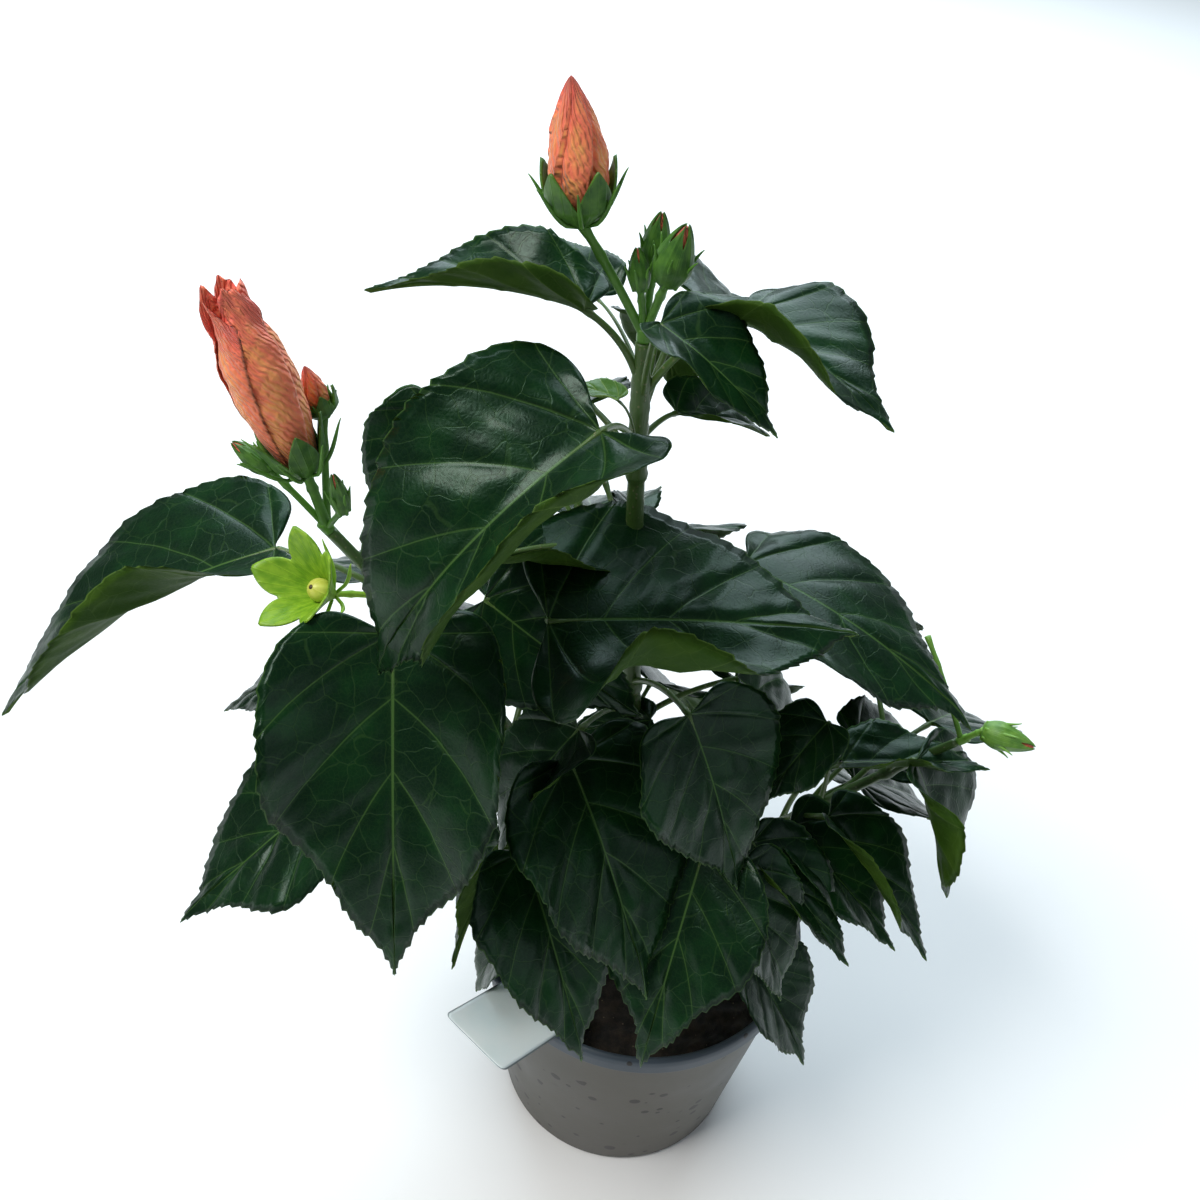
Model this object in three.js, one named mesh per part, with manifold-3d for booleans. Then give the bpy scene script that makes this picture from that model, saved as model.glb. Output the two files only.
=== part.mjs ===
// A potted hibiscus shrub, in millimetres, +Z up. The origin is the centre of the pot's flat
// underside and -Y is the front. Directions are compass-like: heading 0 points to the front (-Y),
// 90 to the right (+X), -90 to the left, 180 to the back; rise is degrees above the level.
import * as THREE from "three";
import { mergeVertices } from "three/addons/utils/BufferGeometryUtils.js";
import Module from "manifold-3d";

const wasm = await Module();
wasm.setup();

// ---- driving dimensions -------------------------------------------------------------------
const POT = {
  rim: 65, wallTop: 62.4, base: 51, height: 112, // outer radii and height
  rimDeep: 9, lip: 3.2, wall: 1.5, floor: 2.4, foot: 1.5,
};
const SOIL_LEVEL = 96;
const GAP = 0.3; // between solids that touch in life
const BLADE_THICK = 1.4;
const PETIOLE = { root: 1.3, tip: 1.0, sides: 3, steps: 2, arch: 18, sunk: 0.55, under: 0.11 };
const LABEL = {
  width: 30, card: 42, stake: 36, neck: 5, point: 1.5, thick: 0.9,
  heading: -39, slope: 22, reach: 90,
};

// ---- limbs: each is an arc from its foot, in one upright plane ----------------------------
const LIMBS = {
  main: { foot: [1, 3, 96.3], heading: -64, lean: [9, 3], length: 276, radius: [4.6, 2.0] },
  left: { foot: [-5, 2, 104], heading: -78, lean: [20, 34], length: 228, radius: [3.2, 1.7] },
  right: { foot: [7, 4, 104], heading: 82, lean: [24, 42], length: 158, radius: [2.8, 1.4] },
  front: { foot: [4, -4, 104], heading: 20, lean: [20, 8], length: 112, radius: [2.4, 1.5] },
  lowLeft: { foot: [-5, -3, 103], heading: -35, lean: [30, 20], length: 74, radius: [2.3, 1.5] },
  backLeft: { foot: [-4, 9, 104], heading: -150, lean: [22, 30], length: 180, radius: [2.8, 1.5] },
  backRight: { foot: [5, 9, 104], heading: 150, lean: [22, 36], length: 160, radius: [2.8, 1.5] },
};

const BOUGH_NAMES = {
  left: "bough_left", right: "bough_right", front: "bough_front",
  lowLeft: "bough_low_left", backLeft: "bough_back_left", backRight: "bough_back_right",
};

const { degToRad } = THREE.MathUtils;

/** Unit vector of a heading and a rise in degrees. */
function toward(heading, rise) {
  const h = degToRad(heading);
  const r = degToRad(rise);
  return new THREE.Vector3(Math.sin(h) * Math.cos(r), -Math.cos(h) * Math.cos(r), Math.sin(r));
}

/** A limb's centre line: its lean from upright turns evenly from the first to the second value. */
class Limb {
  constructor({ foot, heading, lean, length, radius }) {
    const steps = 40;
    this.length = length;
    this.ends = radius;
    this.points = [new THREE.Vector3(...foot)];
    const leanAt = (s) => lean[0] + (lean[1] - lean[0]) * s;
    for (let i = 1; i <= steps; i++) {
      const step = toward(heading, 90 - leanAt((i - 0.5) / steps)).multiplyScalar(length / steps);
      this.points.push(this.points[i - 1].clone().add(step));
    }
  }

  /** The point a distance along the limb, in millimetres. */
  at(distance) {
    const f = (distance / this.length) * (this.points.length - 1);
    const i = Math.min(Math.max(Math.floor(f), 0), this.points.length - 2);
    return this.points[i].clone().lerp(this.points[i + 1], f - i);
  }

  radius(distance) {
    return this.ends[0] + (this.ends[1] - this.ends[0]) * (distance / this.length);
  }
}

const limbs = Object.fromEntries(Object.entries(LIMBS).map(([name, spec]) => [name, new Limb(spec)]));

// ---- solids -------------------------------------------------------------------------------
/** A solid that can be joined and cut, from a closed geometry. */
function solid(geometry) {
  const bare = new THREE.BufferGeometry();
  bare.setAttribute("position", geometry.getAttribute("position"));
  if (geometry.index) bare.setIndex(geometry.index);
  const merged = mergeVertices(bare, 1e-4);
  return new wasm.Manifold(
    new wasm.Mesh({
      numProp: 3,
      vertProperties: new Float32Array(merged.attributes.position.array),
      triVerts: new Uint32Array(merged.index.array),
    }),
  );
}

/** A closed geometry from points and triangles. */
function closed(points, triangles) {
  const geometry = new THREE.BufferGeometry();
  const places = points.flatMap((p) => p.toArray());
  geometry.setAttribute("position", new THREE.Float32BufferAttribute(places, 3));
  geometry.setIndex(triangles.flat());
  return geometry;
}

/** A tapering round limb along points; the first ring lies level where levelFoot is true. */
function tube(points, radii, sides, levelFoot = false) {
  const vertices = [];
  const triangles = [];
  let side = new THREE.Vector3(1, 0, 0);
  points.forEach((p, i) => {
    const ahead = points[Math.min(i + 1, points.length - 1)];
    const tangent = ahead.clone().sub(points[Math.max(i - 1, 0)]).normalize();
    if (i === 0 && levelFoot) tangent.set(0, 0, 1);
    side = side.clone().addScaledVector(tangent, -side.dot(tangent));
    if (side.lengthSq() < 1e-4) side = new THREE.Vector3(0, 1, 0).addScaledVector(tangent, -tangent.y);
    side.normalize();
    const other = tangent.clone().cross(side);
    for (let k = 0; k < sides; k++) {
      const turn = (2 * Math.PI * k) / sides;
      const spoke = side.clone().multiplyScalar(Math.cos(turn)).addScaledVector(other, Math.sin(turn));
      vertices.push(p.clone().addScaledVector(spoke, radii[i]));
    }
  });
  const foot = vertices.push(points[0].clone()) - 1;
  const tip = vertices.push(points[points.length - 1].clone()) - 1;
  const last = (points.length - 1) * sides;
  for (let k = 0; k < sides; k++) {
    const n = (k + 1) % sides;
    triangles.push([foot, n, k], [tip, last + k, last + n]);
    for (let i = 0; i < points.length - 1; i++) {
      const a = i * sides;
      const b = a + sides;
      triangles.push([a + k, a + n, b + n], [a + k, b + n, b + k]);
    }
  }
  return solid(closed(vertices, triangles));
}

const LIMB_SIDES = 6;
const FLARE_REACH = 9; // the root flare dies away over about this height

/** The stretch of a limb between two distances, with extra on its radius. */
function stretch(limb, from, to, { spacing = 20, extra = 0, levelFoot = false, flare = 0 } = {}) {
  const steps = Math.max(2, Math.round((to - from) / spacing));
  const points = [];
  const radii = [];
  for (let i = 0; i <= steps; i++) {
    const d = from + ((to - from) * i) / steps;
    points.push(limb.at(d));
    radii.push(limb.radius(d) + extra + flare * Math.exp(-d / FLARE_REACH));
  }
  return tube(points, radii, LIMB_SIDES, levelFoot);
}

// ---- leaves -------------------------------------------------------------------------------
// A blade's plan is measured in blade lengths from the place where its stalk joins: x runs along
// the midrib and y across it. Behind the widest place the edge rounds into two shallow lobes,
// and in front of it the edge narrows to a drawn-out point.
const PLAN = { widest: 0.26, share: 0.36, lobe: 0.1, roundness: 0.75, point: 2.7 };

/** One half's edge: s runs from the notch at the stalk (0) to the tip (1). */
function edge(s, width) {
  if (s < PLAN.share) {
    const u = 1 - s / PLAN.share;
    const a = (u * Math.PI) / 2;
    const lobe = PLAN.lobe * Math.sin(Math.PI * u ** 1.5);
    const x = PLAN.widest * (1 - Math.sin(a) ** 1.3) - lobe;
    return [x, (width / 2) * Math.max(Math.cos(a), 0) ** PLAN.roundness];
  }
  const a = ((1 - s) / (1 - PLAN.share)) * (Math.PI / 2);
  return [PLAN.widest + (1 - PLAN.widest) * Math.cos(a), (width / 2) * Math.sin(a) ** PLAN.point];
}

// The cross lines of a blade run from a place on the midrib to a place on the edge.
const CROSS = {
  large: [[0, 0], [0.02, 0.12], [0.07, 0.28], [0.18, 0.46], [0.38, 0.66], [0.66, 0.84], [1, 1]],
  small: [[0, 0], [0.03, 0.18], [0.12, 0.38], [0.34, 0.62], [0.66, 0.84], [1, 1]],
};
const LARGE_LEAF = 80;
const ACROSS = { curled: [-1, -0.55, 0, 0.55, 1], plain: [-1, 0, 1] };
const STRONG_CURL = 40;

/** One leaf: where its stalk leaves the limb, the stalk, and how the blade hangs and is shaped. */
function leaf(at, stalk, [heading, dip, roll], length, width, bend, left, right) {
  return { at, stalk, heading, dip, roll, length, width, bend, left, right };
}

/** The foot of the blade, where the stalk ends. */
function bladeFoot(limb, spec) {
  const [heading, rise, length] = spec.stalk;
  return limb.at(spec.at).addScaledVector(toward(heading, rise), length);
}

/** A function that gives a point of the blade and the blade's normal there, from x and y. */
function bladeSurface(foot, { heading, dip, roll, length, bend, left, right }) {
  const along = toward(heading, -dip);
  const level = toward(heading + 90, 0);
  const face = along.clone().cross(level);
  const turn = degToRad(roll);
  const across = level.clone().multiplyScalar(Math.cos(turn)).addScaledVector(face, Math.sin(turn));
  const normal = face.multiplyScalar(Math.cos(turn)).addScaledVector(level, -Math.sin(turn));
  const B = degToRad(bend || 0.01);
  return (x, y) => {
    const t = Math.min(Math.max(x, 0), 1);
    const b = B * (t - 0.5);
    const a = (Math.sin(b) + Math.sin(B / 2)) / B + (x - t) * Math.cos(b);
    const h = (Math.cos(b) - Math.cos(B / 2)) / B - (x - t) * Math.sin(b);
    const up = normal.clone().multiplyScalar(Math.cos(b)).addScaledVector(along, Math.sin(b));
    const [fold, curl] = y < 0 ? left : right;
    const f = degToRad(fold) * (1 - 0.55 * t);
    const rise = 0.3 + 0.7 * THREE.MathUtils.smoothstep(x, -0.1, 0.3);
    const c = degToRad(curl || 0.01) * 2.5 * (1 - 0.45 * t) * rise;
    const e = Math.abs(y);
    const side = y < 0 ? -1 : 1;
    const point = foot
      .clone()
      .addScaledVector(along, length * a)
      .addScaledVector(normal, length * h)
      .addScaledVector(across, (side * length * (Math.sin(f + c * e) - Math.sin(f))) / c)
      .addScaledVector(up, (length * (Math.cos(f) - Math.cos(f + c * e))) / c);
    const lift = e ? f + c * e : 0;
    return [point, up.multiplyScalar(Math.cos(lift)).addScaledVector(across, -side * Math.sin(lift))];
  };
}

/** The blade as a thin closed plate; extra thickens it and widens its edge. */
function bladeSolid(foot, spec, extra = 0) {
  const surface = bladeSurface(foot, spec);
  const thick = BLADE_THICK + 2 * extra;
  const grown = (1.5 * extra) / spec.length;
  const vertices = [];
  const triangles = [];
  const cross = spec.length > LARGE_LEAF ? CROSS.large : CROSS.small;
  const curled = spec.length > LARGE_LEAF || Math.max(spec.left[1], spec.right[1]) > STRONG_CURL;
  const across = curled ? ACROSS.curled : ACROSS.plain;
  const edgeRow = across.length - 1;
  const rows = cross.map(([mid, s]) =>
    across.map((v) => {
      const [ex, ey] = edge(s, spec.width);
      const outward = ex > PLAN.widest ? grown : -grown;
      const x = mid + (ex + outward - mid) * Math.abs(v) + (s === 0 || s === 1 ? outward : 0);
      const [point, normal] = surface(x, v * (ey + grown));
      const top = vertices.push(point.clone().addScaledVector(normal, thick / 2)) - 1;
      vertices.push(point.clone().addScaledVector(normal, -thick / 2));
      return top;
    }),
  );
  const last = rows.length - 1;
  rows[0].fill(rows[0][edgeRow / 2]);
  rows[last].fill(rows[last][edgeRow / 2]);
  const face = (a, b, c) => {
    if (a === b || b === c || a === c) return;
    triangles.push([a, c, b], [a + 1, b + 1, c + 1]);
  };
  const wall = (a, b) => triangles.push([a, b + 1, a + 1], [a, b, b + 1]);
  for (let k = 0; k < last; k++) {
    for (let j = 0; j < edgeRow; j++) {
      const [a, b, c, d] = [rows[k][j], rows[k][j + 1], rows[k + 1][j + 1], rows[k + 1][j]];
      face(a, b, c);
      face(a, c, d);
    }
    wall(rows[k + 1][0], rows[k][0]);
    wall(rows[k][edgeRow], rows[k + 1][edgeRow]);
  }
  return solid(closed(vertices, triangles));
}

/** The stalk, from inside the limb to a little way under the midrib. */
function stalkSolid(limb, spec, extra) {
  const { root: thick, tip: thin, sides, steps, arch, sunk, under } = PETIOLE;
  const [heading, rise, length] = spec.stalk;
  const start = limb.at(spec.at);
  const foot = bladeFoot(limb, spec);
  const bow = start.clone().addScaledVector(toward(heading, rise + arch), length * 0.55);
  const surface = bladeSurface(foot, spec);
  const [joint, normal] = surface(0, 0);
  const [end] = surface(under, 0);
  joint.addScaledVector(normal, -sunk);
  end.addScaledVector(normal, -sunk * 0.6);
  const points = [...new THREE.QuadraticBezierCurve3(start, bow, joint).getPoints(steps), end];
  const radii = points.map((_, i) => THREE.MathUtils.lerp(thick, thin, i / (points.length - 1)) + extra);
  return tube(points, radii, sides);
}

// ---- seeded growth ------------------------------------------------------------------------
/** Park-Miller numbers between 0 and 1, the same from the same seed. */
function dice(seed) {
  let state = seed;
  return () => {
    state = (state * 48271) % 2147483647;
    return state / 2147483647;
  };
}

const TURN = 137.5; // leaves follow one another round a limb by this angle
const TRIES = 6;
const LIMB_CLEAR = 12; // a grown blade keeps this far from every limb's centre line
const NEAR_NODE = 22; // apart from its own limb this close to its stalk
const POT_CLEAR = { over: 6, beside: 4 }; // and this far above the rim or outside it
const WAYMARKS = []; // places on a blade, along and across
for (const x of [0.05, 0.3, 0.55, 0.8]) {
  for (const v of [-0.7, 0, 0.7]) WAYMARKS.push([x, v * (1.1 - x)]);
}

/** A few points of a blade, by which leaves keep clear of one another. */
function waymarks(limb, spec) {
  const surface = bladeSurface(bladeFoot(limb, spec), spec);
  return WAYMARKS.map(([x, v]) => surface(x, (v * spec.width) / 2)[0]);
}

const placed = []; // the waymarks of each blade so far

/** The smallest distance between two sets of points. */
function nearest(marks, others) {
  return Math.min(...marks.flatMap((m) => others.map((o) => m.distanceTo(o))));
}

/** Whether a blade keeps clear of the blades so far, of the limbs and of the pot. */
function hasRoom(limb, spec, marks, spacing) {
  const root = limb.at(spec.at);
  const free = Object.values(limbs).every((other) => {
    const points = other === limb ? other.points.filter((p) => p.distanceTo(root) > NEAR_NODE) : other.points;
    return nearest(marks, points) > LIMB_CLEAR;
  });
  const { over, beside } = POT_CLEAR;
  const clearOfPot = marks.every((m) => m.z > POT.height + over || Math.hypot(m.x, m.y) > POT.rim + beside);
  return free && clearOfPot && placed.every((others) => nearest(marks, others) > spacing);
}

/** Leaves grown by rule on a limb between two distances, within a sector of headings. */
function grow(limb, { seed, count, from, to, facing, sector, size, spacing }) {
  const roll = dice(seed);
  const leaves = [];
  for (let i = 0; i < count; i++) {
    const at = from + ((to - from) * (i + 0.5)) / count;
    const [r1, r2, r3, r4, r5, r6] = Array.from({ length: 6 }, roll);
    for (let k = 0; k < TRIES; k++) {
      const heading = facing + ((((i * TURN + k * 55) % 360) / 360) * 2 - 1) * sector;
      const spec = leaf(
        at,
        [heading, 22 + 22 * r1, 24 + 20 * r2],
        [heading + 40 * (r3 - 0.5), 28 + 30 * r4, 0],
        size[0] + (size[1] - size[0]) * r5,
        0.7 + 0.12 * r6,
        34,
        [8, 20],
        [8, 20],
      );
      const marks = waymarks(limb, spec);
      if (hasRoom(limb, spec, marks, spacing)) {
        placed.push(marks);
        leaves.push(spec);
        break;
      }
    }
  }
  return leaves;
}

// ---- masses of foliage: a leafy stem with the leaves that it bears -------------------------
// Each line: distance along the limb, stalk (heading, rise, length), blade (heading, dip, roll),
// length, width ratio, bend, then fold and curl of the left half and of the right half.
const MASSES = {
  foliage_top: {
    limb: "main", from: 226, to: 276,
    leaves: [
      leaf(240, [-15, 40, 50], [-70, 52, -35], 94, 0.74, 75, [0, 15], [25, 110]),
      leaf(262, [-80, 55, 28], [-98, 6, 0], 58, 0.6, 34, [14, 70], [30, 80]),
      leaf(255, [5, 60, 44], [66, 30, 15], 38, 0.76, 30, [25, 30], [5, 20]),
      leaf(258, [88, 52, 35], [58, 16, 0], 48, 1.1, 30, [16, 55], [2, 10]),
      leaf(245, [150, 0, 20], [120, 25, 0], 38, 0.7, 20, [20, 20], [20, 20]),
      leaf(265, [-155, 10, 34], [-150, -15, 0], 24, 0.9, 20, [20, 20], [20, 20]),
      leaf(235, [-20, 60, 40], [-120, 10, 0], 17, 0.55, 20, [20, 20], [20, 20]),
    ],
    more: [{ seed: 12, count: 4, from: 232, to: 262, facing: -170, sector: 60, size: [46, 58], spacing: 11 }],
  },
  foliage_centre: {
    limb: "main", from: 108, to: 225.7,
    leaves: [
      leaf(175, [-32, 38, 57], [100, 5, 0], 88, 0.92, 15, [-45, 150], [10, 10]),
      leaf(175, [122, 18, 42], [66, 20, 0], 88, 0.8, 35, [-25, 80], [-8, 0]),
      leaf(190, [-68, 8, 46], [80, 33, 60], 60, 0.7, 20, [0, 0], [0, 0]),
      leaf(205, [-60, 15, 48], [110, 25, 0], 52, 0.6, 50, [20, 90], [10, 20]),
      leaf(190, [-115, -20, 60], [120, 40, 0], 40, 0.8, 20, [0, 20], [0, 20]),
      leaf(150, [25, 33, 46], [48, 62, 0], 62, 0.86, 20, [0, 0], [5, 20]),
      leaf(125, [-25, 34, 54], [40, 54, -5], 82, 0.78, 20, [5, 20], [5, 20]),
      leaf(135, [-25, 36, 48], [-60, 64, 0], 56, 0.65, 40, [10, 20], [10, 80]),
      leaf(130, [45, 45, 12], [-90, 25, 0], 34, 0.6, 20, [10, 10], [10, 10]),
    ],
    more: [{ seed: 185, count: 5, from: 120, to: 215, facing: -175, sector: 75, size: [60, 82], spacing: 13 }],
  },
  foliage_left: {
    limb: "left", from: 96, to: 228,
    leaves: [
      leaf(190, [5, 35, 42], [8, 62, 0], 102, 0.72, 20, [5, 40], [0, 90]),
      leaf(150, [-57, -25, 50], [-57, 36, 0], 72, 0.78, 10, [0, 10], [0, 10]),
      leaf(150, [-110, -20, 70], [-95, 40, 0], 45, 0.6, 20, [0, 0], [0, 0]),
      leaf(195, [-100, 15, 40], [-74, 34, -5], 110, 0.66, 45, [0, 15], [20, 100]),
      leaf(190, [175, 45, 60], [-80, 60, -60], 46, 0.8, 30, [0, 20], [0, 20]),
      leaf(120, [-35, 50, 14], [-70, 55, 0], 46, 0.75, 20, [20, 20], [20, 20]),
      leaf(110, [-100, -5, 34], [-70, 60, 0], 45, 0.6, 20, [20, 20], [20, 20]),
    ],
    more: [{ seed: 63, count: 4, from: 110, to: 215, facing: -165, sector: 60, size: [56, 76], spacing: 13 }],
    fruit: [{ at: 197, stalk: [-23, 42, 25], axis: [-40, 42], length: 19, radius: 11, seed: 2.8 }],
  },
  foliage_right: {
    limb: "right", from: 52, to: 158,
    leaves: [
      leaf(60, [40, 60, 60], [58, 40, 0], 62, 0.58, 20, [40, 70], [10, 20]),
      leaf(80, [40, 72, 56], [96, 2, 0], 50, 0.6, 20, [30, 80], [5, 20]),
      leaf(100, [-30, 70, 68], [-50, 50, 0], 34, 0.8, 20, [10, 10], [10, 20]),
      leaf(130, [35, 60, 18], [48, 60, 0], 55, 1.1, 25, [25, 60], [-10, 0]),
    ],
    more: [{ seed: 69, count: 4, from: 60, to: 140, facing: 165, sector: 45, size: [55, 76], spacing: 12 }],
  },
  foliage_front: {
    limb: "front", from: 40, to: 112,
    leaves: [
      leaf(105, [-5, 30, 24], [-16, 55, 0], 74, 0.7, 20, [5, 20], [5, 20]),
      leaf(105, [30, 10, 22], [50, 60, 0], 54, 0.64, 20, [20, 20], [20, 20]),
      leaf(50, [45, 10, 34], [55, 50, 0], 54, 0.7, 20, [20, 20], [20, 20]),
      leaf(100, [70, 15, 18], [60, 38, 0], 54, 0.6, 20, [15, 90], [20, 20]),
      leaf(90, [100, 15, 32], [62, 35, 0], 58, 0.62, 20, [20, 20], [20, 20]),
      leaf(44, [10, 5, 44], [-75, 60, 0], 32, 0.7, 20, [20, 20], [20, 20]),
    ],
    more: [],
  },
  foliage_low_left: {
    limb: "lowLeft", from: 22, to: 74,
    leaves: [
      leaf(70, [-40, 55, 60], [35, 54, 0], 74, 0.64, 20, [10, 10], [10, 20]),
      leaf(60, [-75, 45, 45], [-30, 50, 60], 48, 0.6, 20, [30, 20], [30, 20]),
      leaf(30, [-65, 15, 38], [-70, 70, 0], 45, 0.7, 20, [20, 20], [20, 20]),
    ],
    more: [{ seed: 5, count: 2, from: 34, to: 66, facing: -110, sector: 30, size: [48, 60], spacing: 11 }],
  },
  foliage_back_left: {
    limb: "backLeft", from: 56, to: 180,
    leaves: [],
    more: [{ seed: 195, count: 10, from: 60, to: 180, facing: -165, sector: 95, size: [60, 84], spacing: 12 }],
  },
  foliage_back_right: {
    limb: "backRight", from: 56, to: 160,
    leaves: [],
    more: [{ seed: 71, count: 9, from: 60, to: 130, facing: 180, sector: 100, size: [50, 72], spacing: 11 }],
  },
};

for (const { limb, leaves } of Object.values(MASSES)) {
  for (const spec of leaves) placed.push(waymarks(limbs[limb], spec));
}
for (const mass of Object.values(MASSES)) {
  mass.all = [...mass.leaves, ...mass.more.flatMap((rule) => grow(limbs[mass.limb], rule))];
}

/** A mass as one solid; extra thickens all of it, to cut its neighbours clear. */
function massSolid({ limb, from, to, all, fruit = [] }, extra = 0) {
  const line = limbs[limb];
  let made = stretch(line, from, to, { extra });
  for (const spec of all) {
    made = made.add(stalkSolid(line, spec, extra));
    made = made.add(bladeSolid(bladeFoot(line, spec), spec, extra));
  }
  for (const { at, stalk, axis, length, radius, seed } of fruit) {
    const [heading, rise, reach] = stalk;
    const foot = line.at(at).addScaledVector(toward(heading, rise), reach);
    const inside = foot.clone().addScaledVector(toward(...axis), 0.8);
    const size = { length: length + extra, radius: radius + extra, seed };
    made = made.add(spray(line.at(at), inside, 1.1 + extra)).add(spentCalyx(foot, ...axis, size));
  }
  return made;
}

const SLIVER = 0.05; // edges shorter than this are merged away after the cuts

/** The largest body of a solid, without slivers: a scrap that a cut leaves loose is dropped. */
function whole(made) {
  const largest = made.decompose().reduce((a, b) => (a.volume() > b.volume() ? a : b));
  return largest.simplify(SLIVER);
}

// ---- buds and flowers ---------------------------------------------------------------------
/** A body of revolution round +Z from points of radius and height; both ends lie on the axis. */
function revolved(profile, sides) {
  const geometry = new THREE.LatheGeometry(profile.map(([r, z]) => new THREE.Vector2(r, z)), sides);
  return geometry.rotateX(Math.PI / 2);
}

/** Turns a geometry that stands on the origin along +Z to a place and a direction. */
function stand(geometry, place, heading, rise) {
  const turn = new THREE.Quaternion().setFromUnitVectors(new THREE.Vector3(0, 0, 1), toward(heading, rise));
  return geometry.applyMatrix4(new THREE.Matrix4().compose(place, turn, new THREE.Vector3(1, 1, 1)));
}

const BUD_PROFILE = [[0, 0], [0.6, 0.03], [1, 0.26], [0.95, 0.46], [0.62, 0.74], [0.22, 0.94], [0, 1]];
const SEED_CASE = [[0, 0], [0.7, 0.12], [1, 0.5], [0.7, 0.86], [0, 1]];
const CALYX = { wall: 1.1, clear: 0.45, bed: 1.8 };

/** Radius of the furled petals along their length, as a share of the widest. */
function furled(s) {
  return Math.max(Math.sin(Math.PI * s ** 0.7), 0) ** 0.75;
}

/** The same for petals that have begun to open. */
function opening(s) {
  return 0.5 + 0.5 * Math.sin((Math.PI / 2) * Math.min(s / 0.5, 1)) - 0.12 * Math.max(s - 0.6, 0);
}

/** A profile of shares, drawn out to a radius and a length. */
function scaled(profile, radius, length) {
  return profile.map(([r, z]) => [r * radius, z * length]);
}

/** Slim bracts that spread round the foot of a calyx. */
function bracts(place, heading, rise, { count, length, spread, start, radius }) {
  const turn = new THREE.Quaternion().setFromUnitVectors(new THREE.Vector3(0, 0, 1), toward(heading, rise));
  let made;
  for (let k = 0; k < count; k++) {
    const angle = start + (2 * Math.PI * k) / count;
    const out = new THREE.Vector3(Math.cos(angle), Math.sin(angle), 0);
    const points = [0, 0.5, 1].map((s) =>
      out
        .clone()
        .multiplyScalar(radius * 0.62 + (spread - radius * 0.3) * s)
        .add(new THREE.Vector3(0, 0, length * (0.04 + s * 0.9)))
        .applyQuaternion(turn)
        .add(place),
    );
    const one = tube(points, [0.9, 1.1, 0.4], 3);
    made = made ? made.add(one) : one;
  }
  return made;
}

/** A shut green bud with its bracts. */
function greenBud(place, heading, rise, length, radius) {
  const body = solid(stand(revolved(scaled(BUD_PROFILE, radius, length), 7), place, heading, rise));
  const frill = { count: 5, length: length * 0.75, spread: radius * 1.35, start: 0.4, radius };
  return body.add(bracts(place, heading, rise, frill));
}

/** A cup whose wall ends in lobes. The outside follows outline(v), v from the foot to a lobe's tip. */
function lobedCup(outline, { lobes, depth, wall, floor, turn = 0 }) {
  const round = lobes * 4;
  const rings = [0.12, 0.4, 0.7, 1];
  const vertices = [];
  const triangles = [];
  const point = (angle, v, inset) => {
    const tooth = Math.abs(Math.cos((lobes * (angle - turn)) / 2)) ** 1.2;
    const share = v * (1 - depth * (1 - tooth));
    const [r, z] = outline(share);
    const [r2, z2] = outline(share + 0.01);
    const slope = Math.atan2(r2 - r, z2 - z);
    const R = Math.max(r - inset * Math.cos(slope), 0.15);
    return new THREE.Vector3(R * Math.cos(angle), R * Math.sin(angle), z + inset * Math.sin(slope));
  };
  const outside = rings.map((v) => [v, 0]);
  const inside = rings.map((v) => [Math.max(v, floor), wall]).reverse();
  const skins = [...outside, ...inside];
  skins.forEach(([v, inset]) => {
    for (let k = 0; k < round; k++) vertices.push(point((2 * Math.PI * k) / round, v, inset));
  });
  const foot = vertices.push(new THREE.Vector3(0, 0, outline(0)[1])) - 1;
  const bed = vertices.push(new THREE.Vector3(0, 0, outline(floor)[1])) - 1;
  const last = (skins.length - 1) * round;
  for (let k = 0; k < round; k++) {
    const n = (k + 1) % round;
    triangles.push([foot, n, k], [bed, last + k, last + n]);
    for (let i = 0; i < skins.length - 1; i++) {
      const a = i * round;
      const b = a + round;
      triangles.push([a + k, a + n, b + n], [a + k, b + n, b + k]);
    }
  }
  return closed(vertices, triangles);
}

/** The furled petals of a bud, which stand on the bed of the calyx; spare is room left round them. */
function furledPetals(place, heading, rise, { length, radius }, spare = 0) {
  const steps = [0, 0.03, 0.12, 0.26, 0.42, 0.58, 0.73, 0.87, 1];
  const height = (s) => CALYX.bed + GAP - spare + s * (length + 2 * spare);
  const profile = steps.map((s) => [s === 0 || s === 1 ? 0 : furled(s) * radius + spare, height(s)]);
  return solid(stand(revolved(profile, 10), place, heading, rise));
}

/** Petals that have begun to open: a long cup with five lobes at its mouth. */
function openingPetals(place, heading, rise, { length, radius }, spare = 0) {
  const outline = (v) => [
    (opening(v) * radius + spare) * Math.min(1, 0.2 + v * 14),
    CALYX.bed + GAP - spare + v * (length + 2 * spare),
  ];
  const cup = lobedCup(outline, { lobes: 5, depth: 0.16, wall: 2, floor: 0.72 });
  return solid(stand(cup, place, heading, rise));
}

/** A calyx with five lobes that hold the petals, and its bracts. */
function calyx(place, heading, rise, { length, radius, shape, lobe }) {
  const { wall, clear, bed } = CALYX;
  const petalAt = (z) => shape(Math.min(Math.max((z - bed) / length, 0), 1)) * radius;
  const outline = (v) => {
    const opened = petalAt(v * lobe + 0.6) + clear + wall + v * 0.6;
    return [Math.min(0.25 + v * 9, 1) * opened, v * lobe];
  };
  const cup = lobedCup(outline, { lobes: 5, depth: 0.55, wall, floor: bed / lobe });
  const frill = { count: 6, length: lobe * 0.8, spread: radius * 1.5, start: 0.3, radius };
  return solid(stand(cup, place, heading, rise)).add(bracts(place, heading, rise, frill));
}

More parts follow.
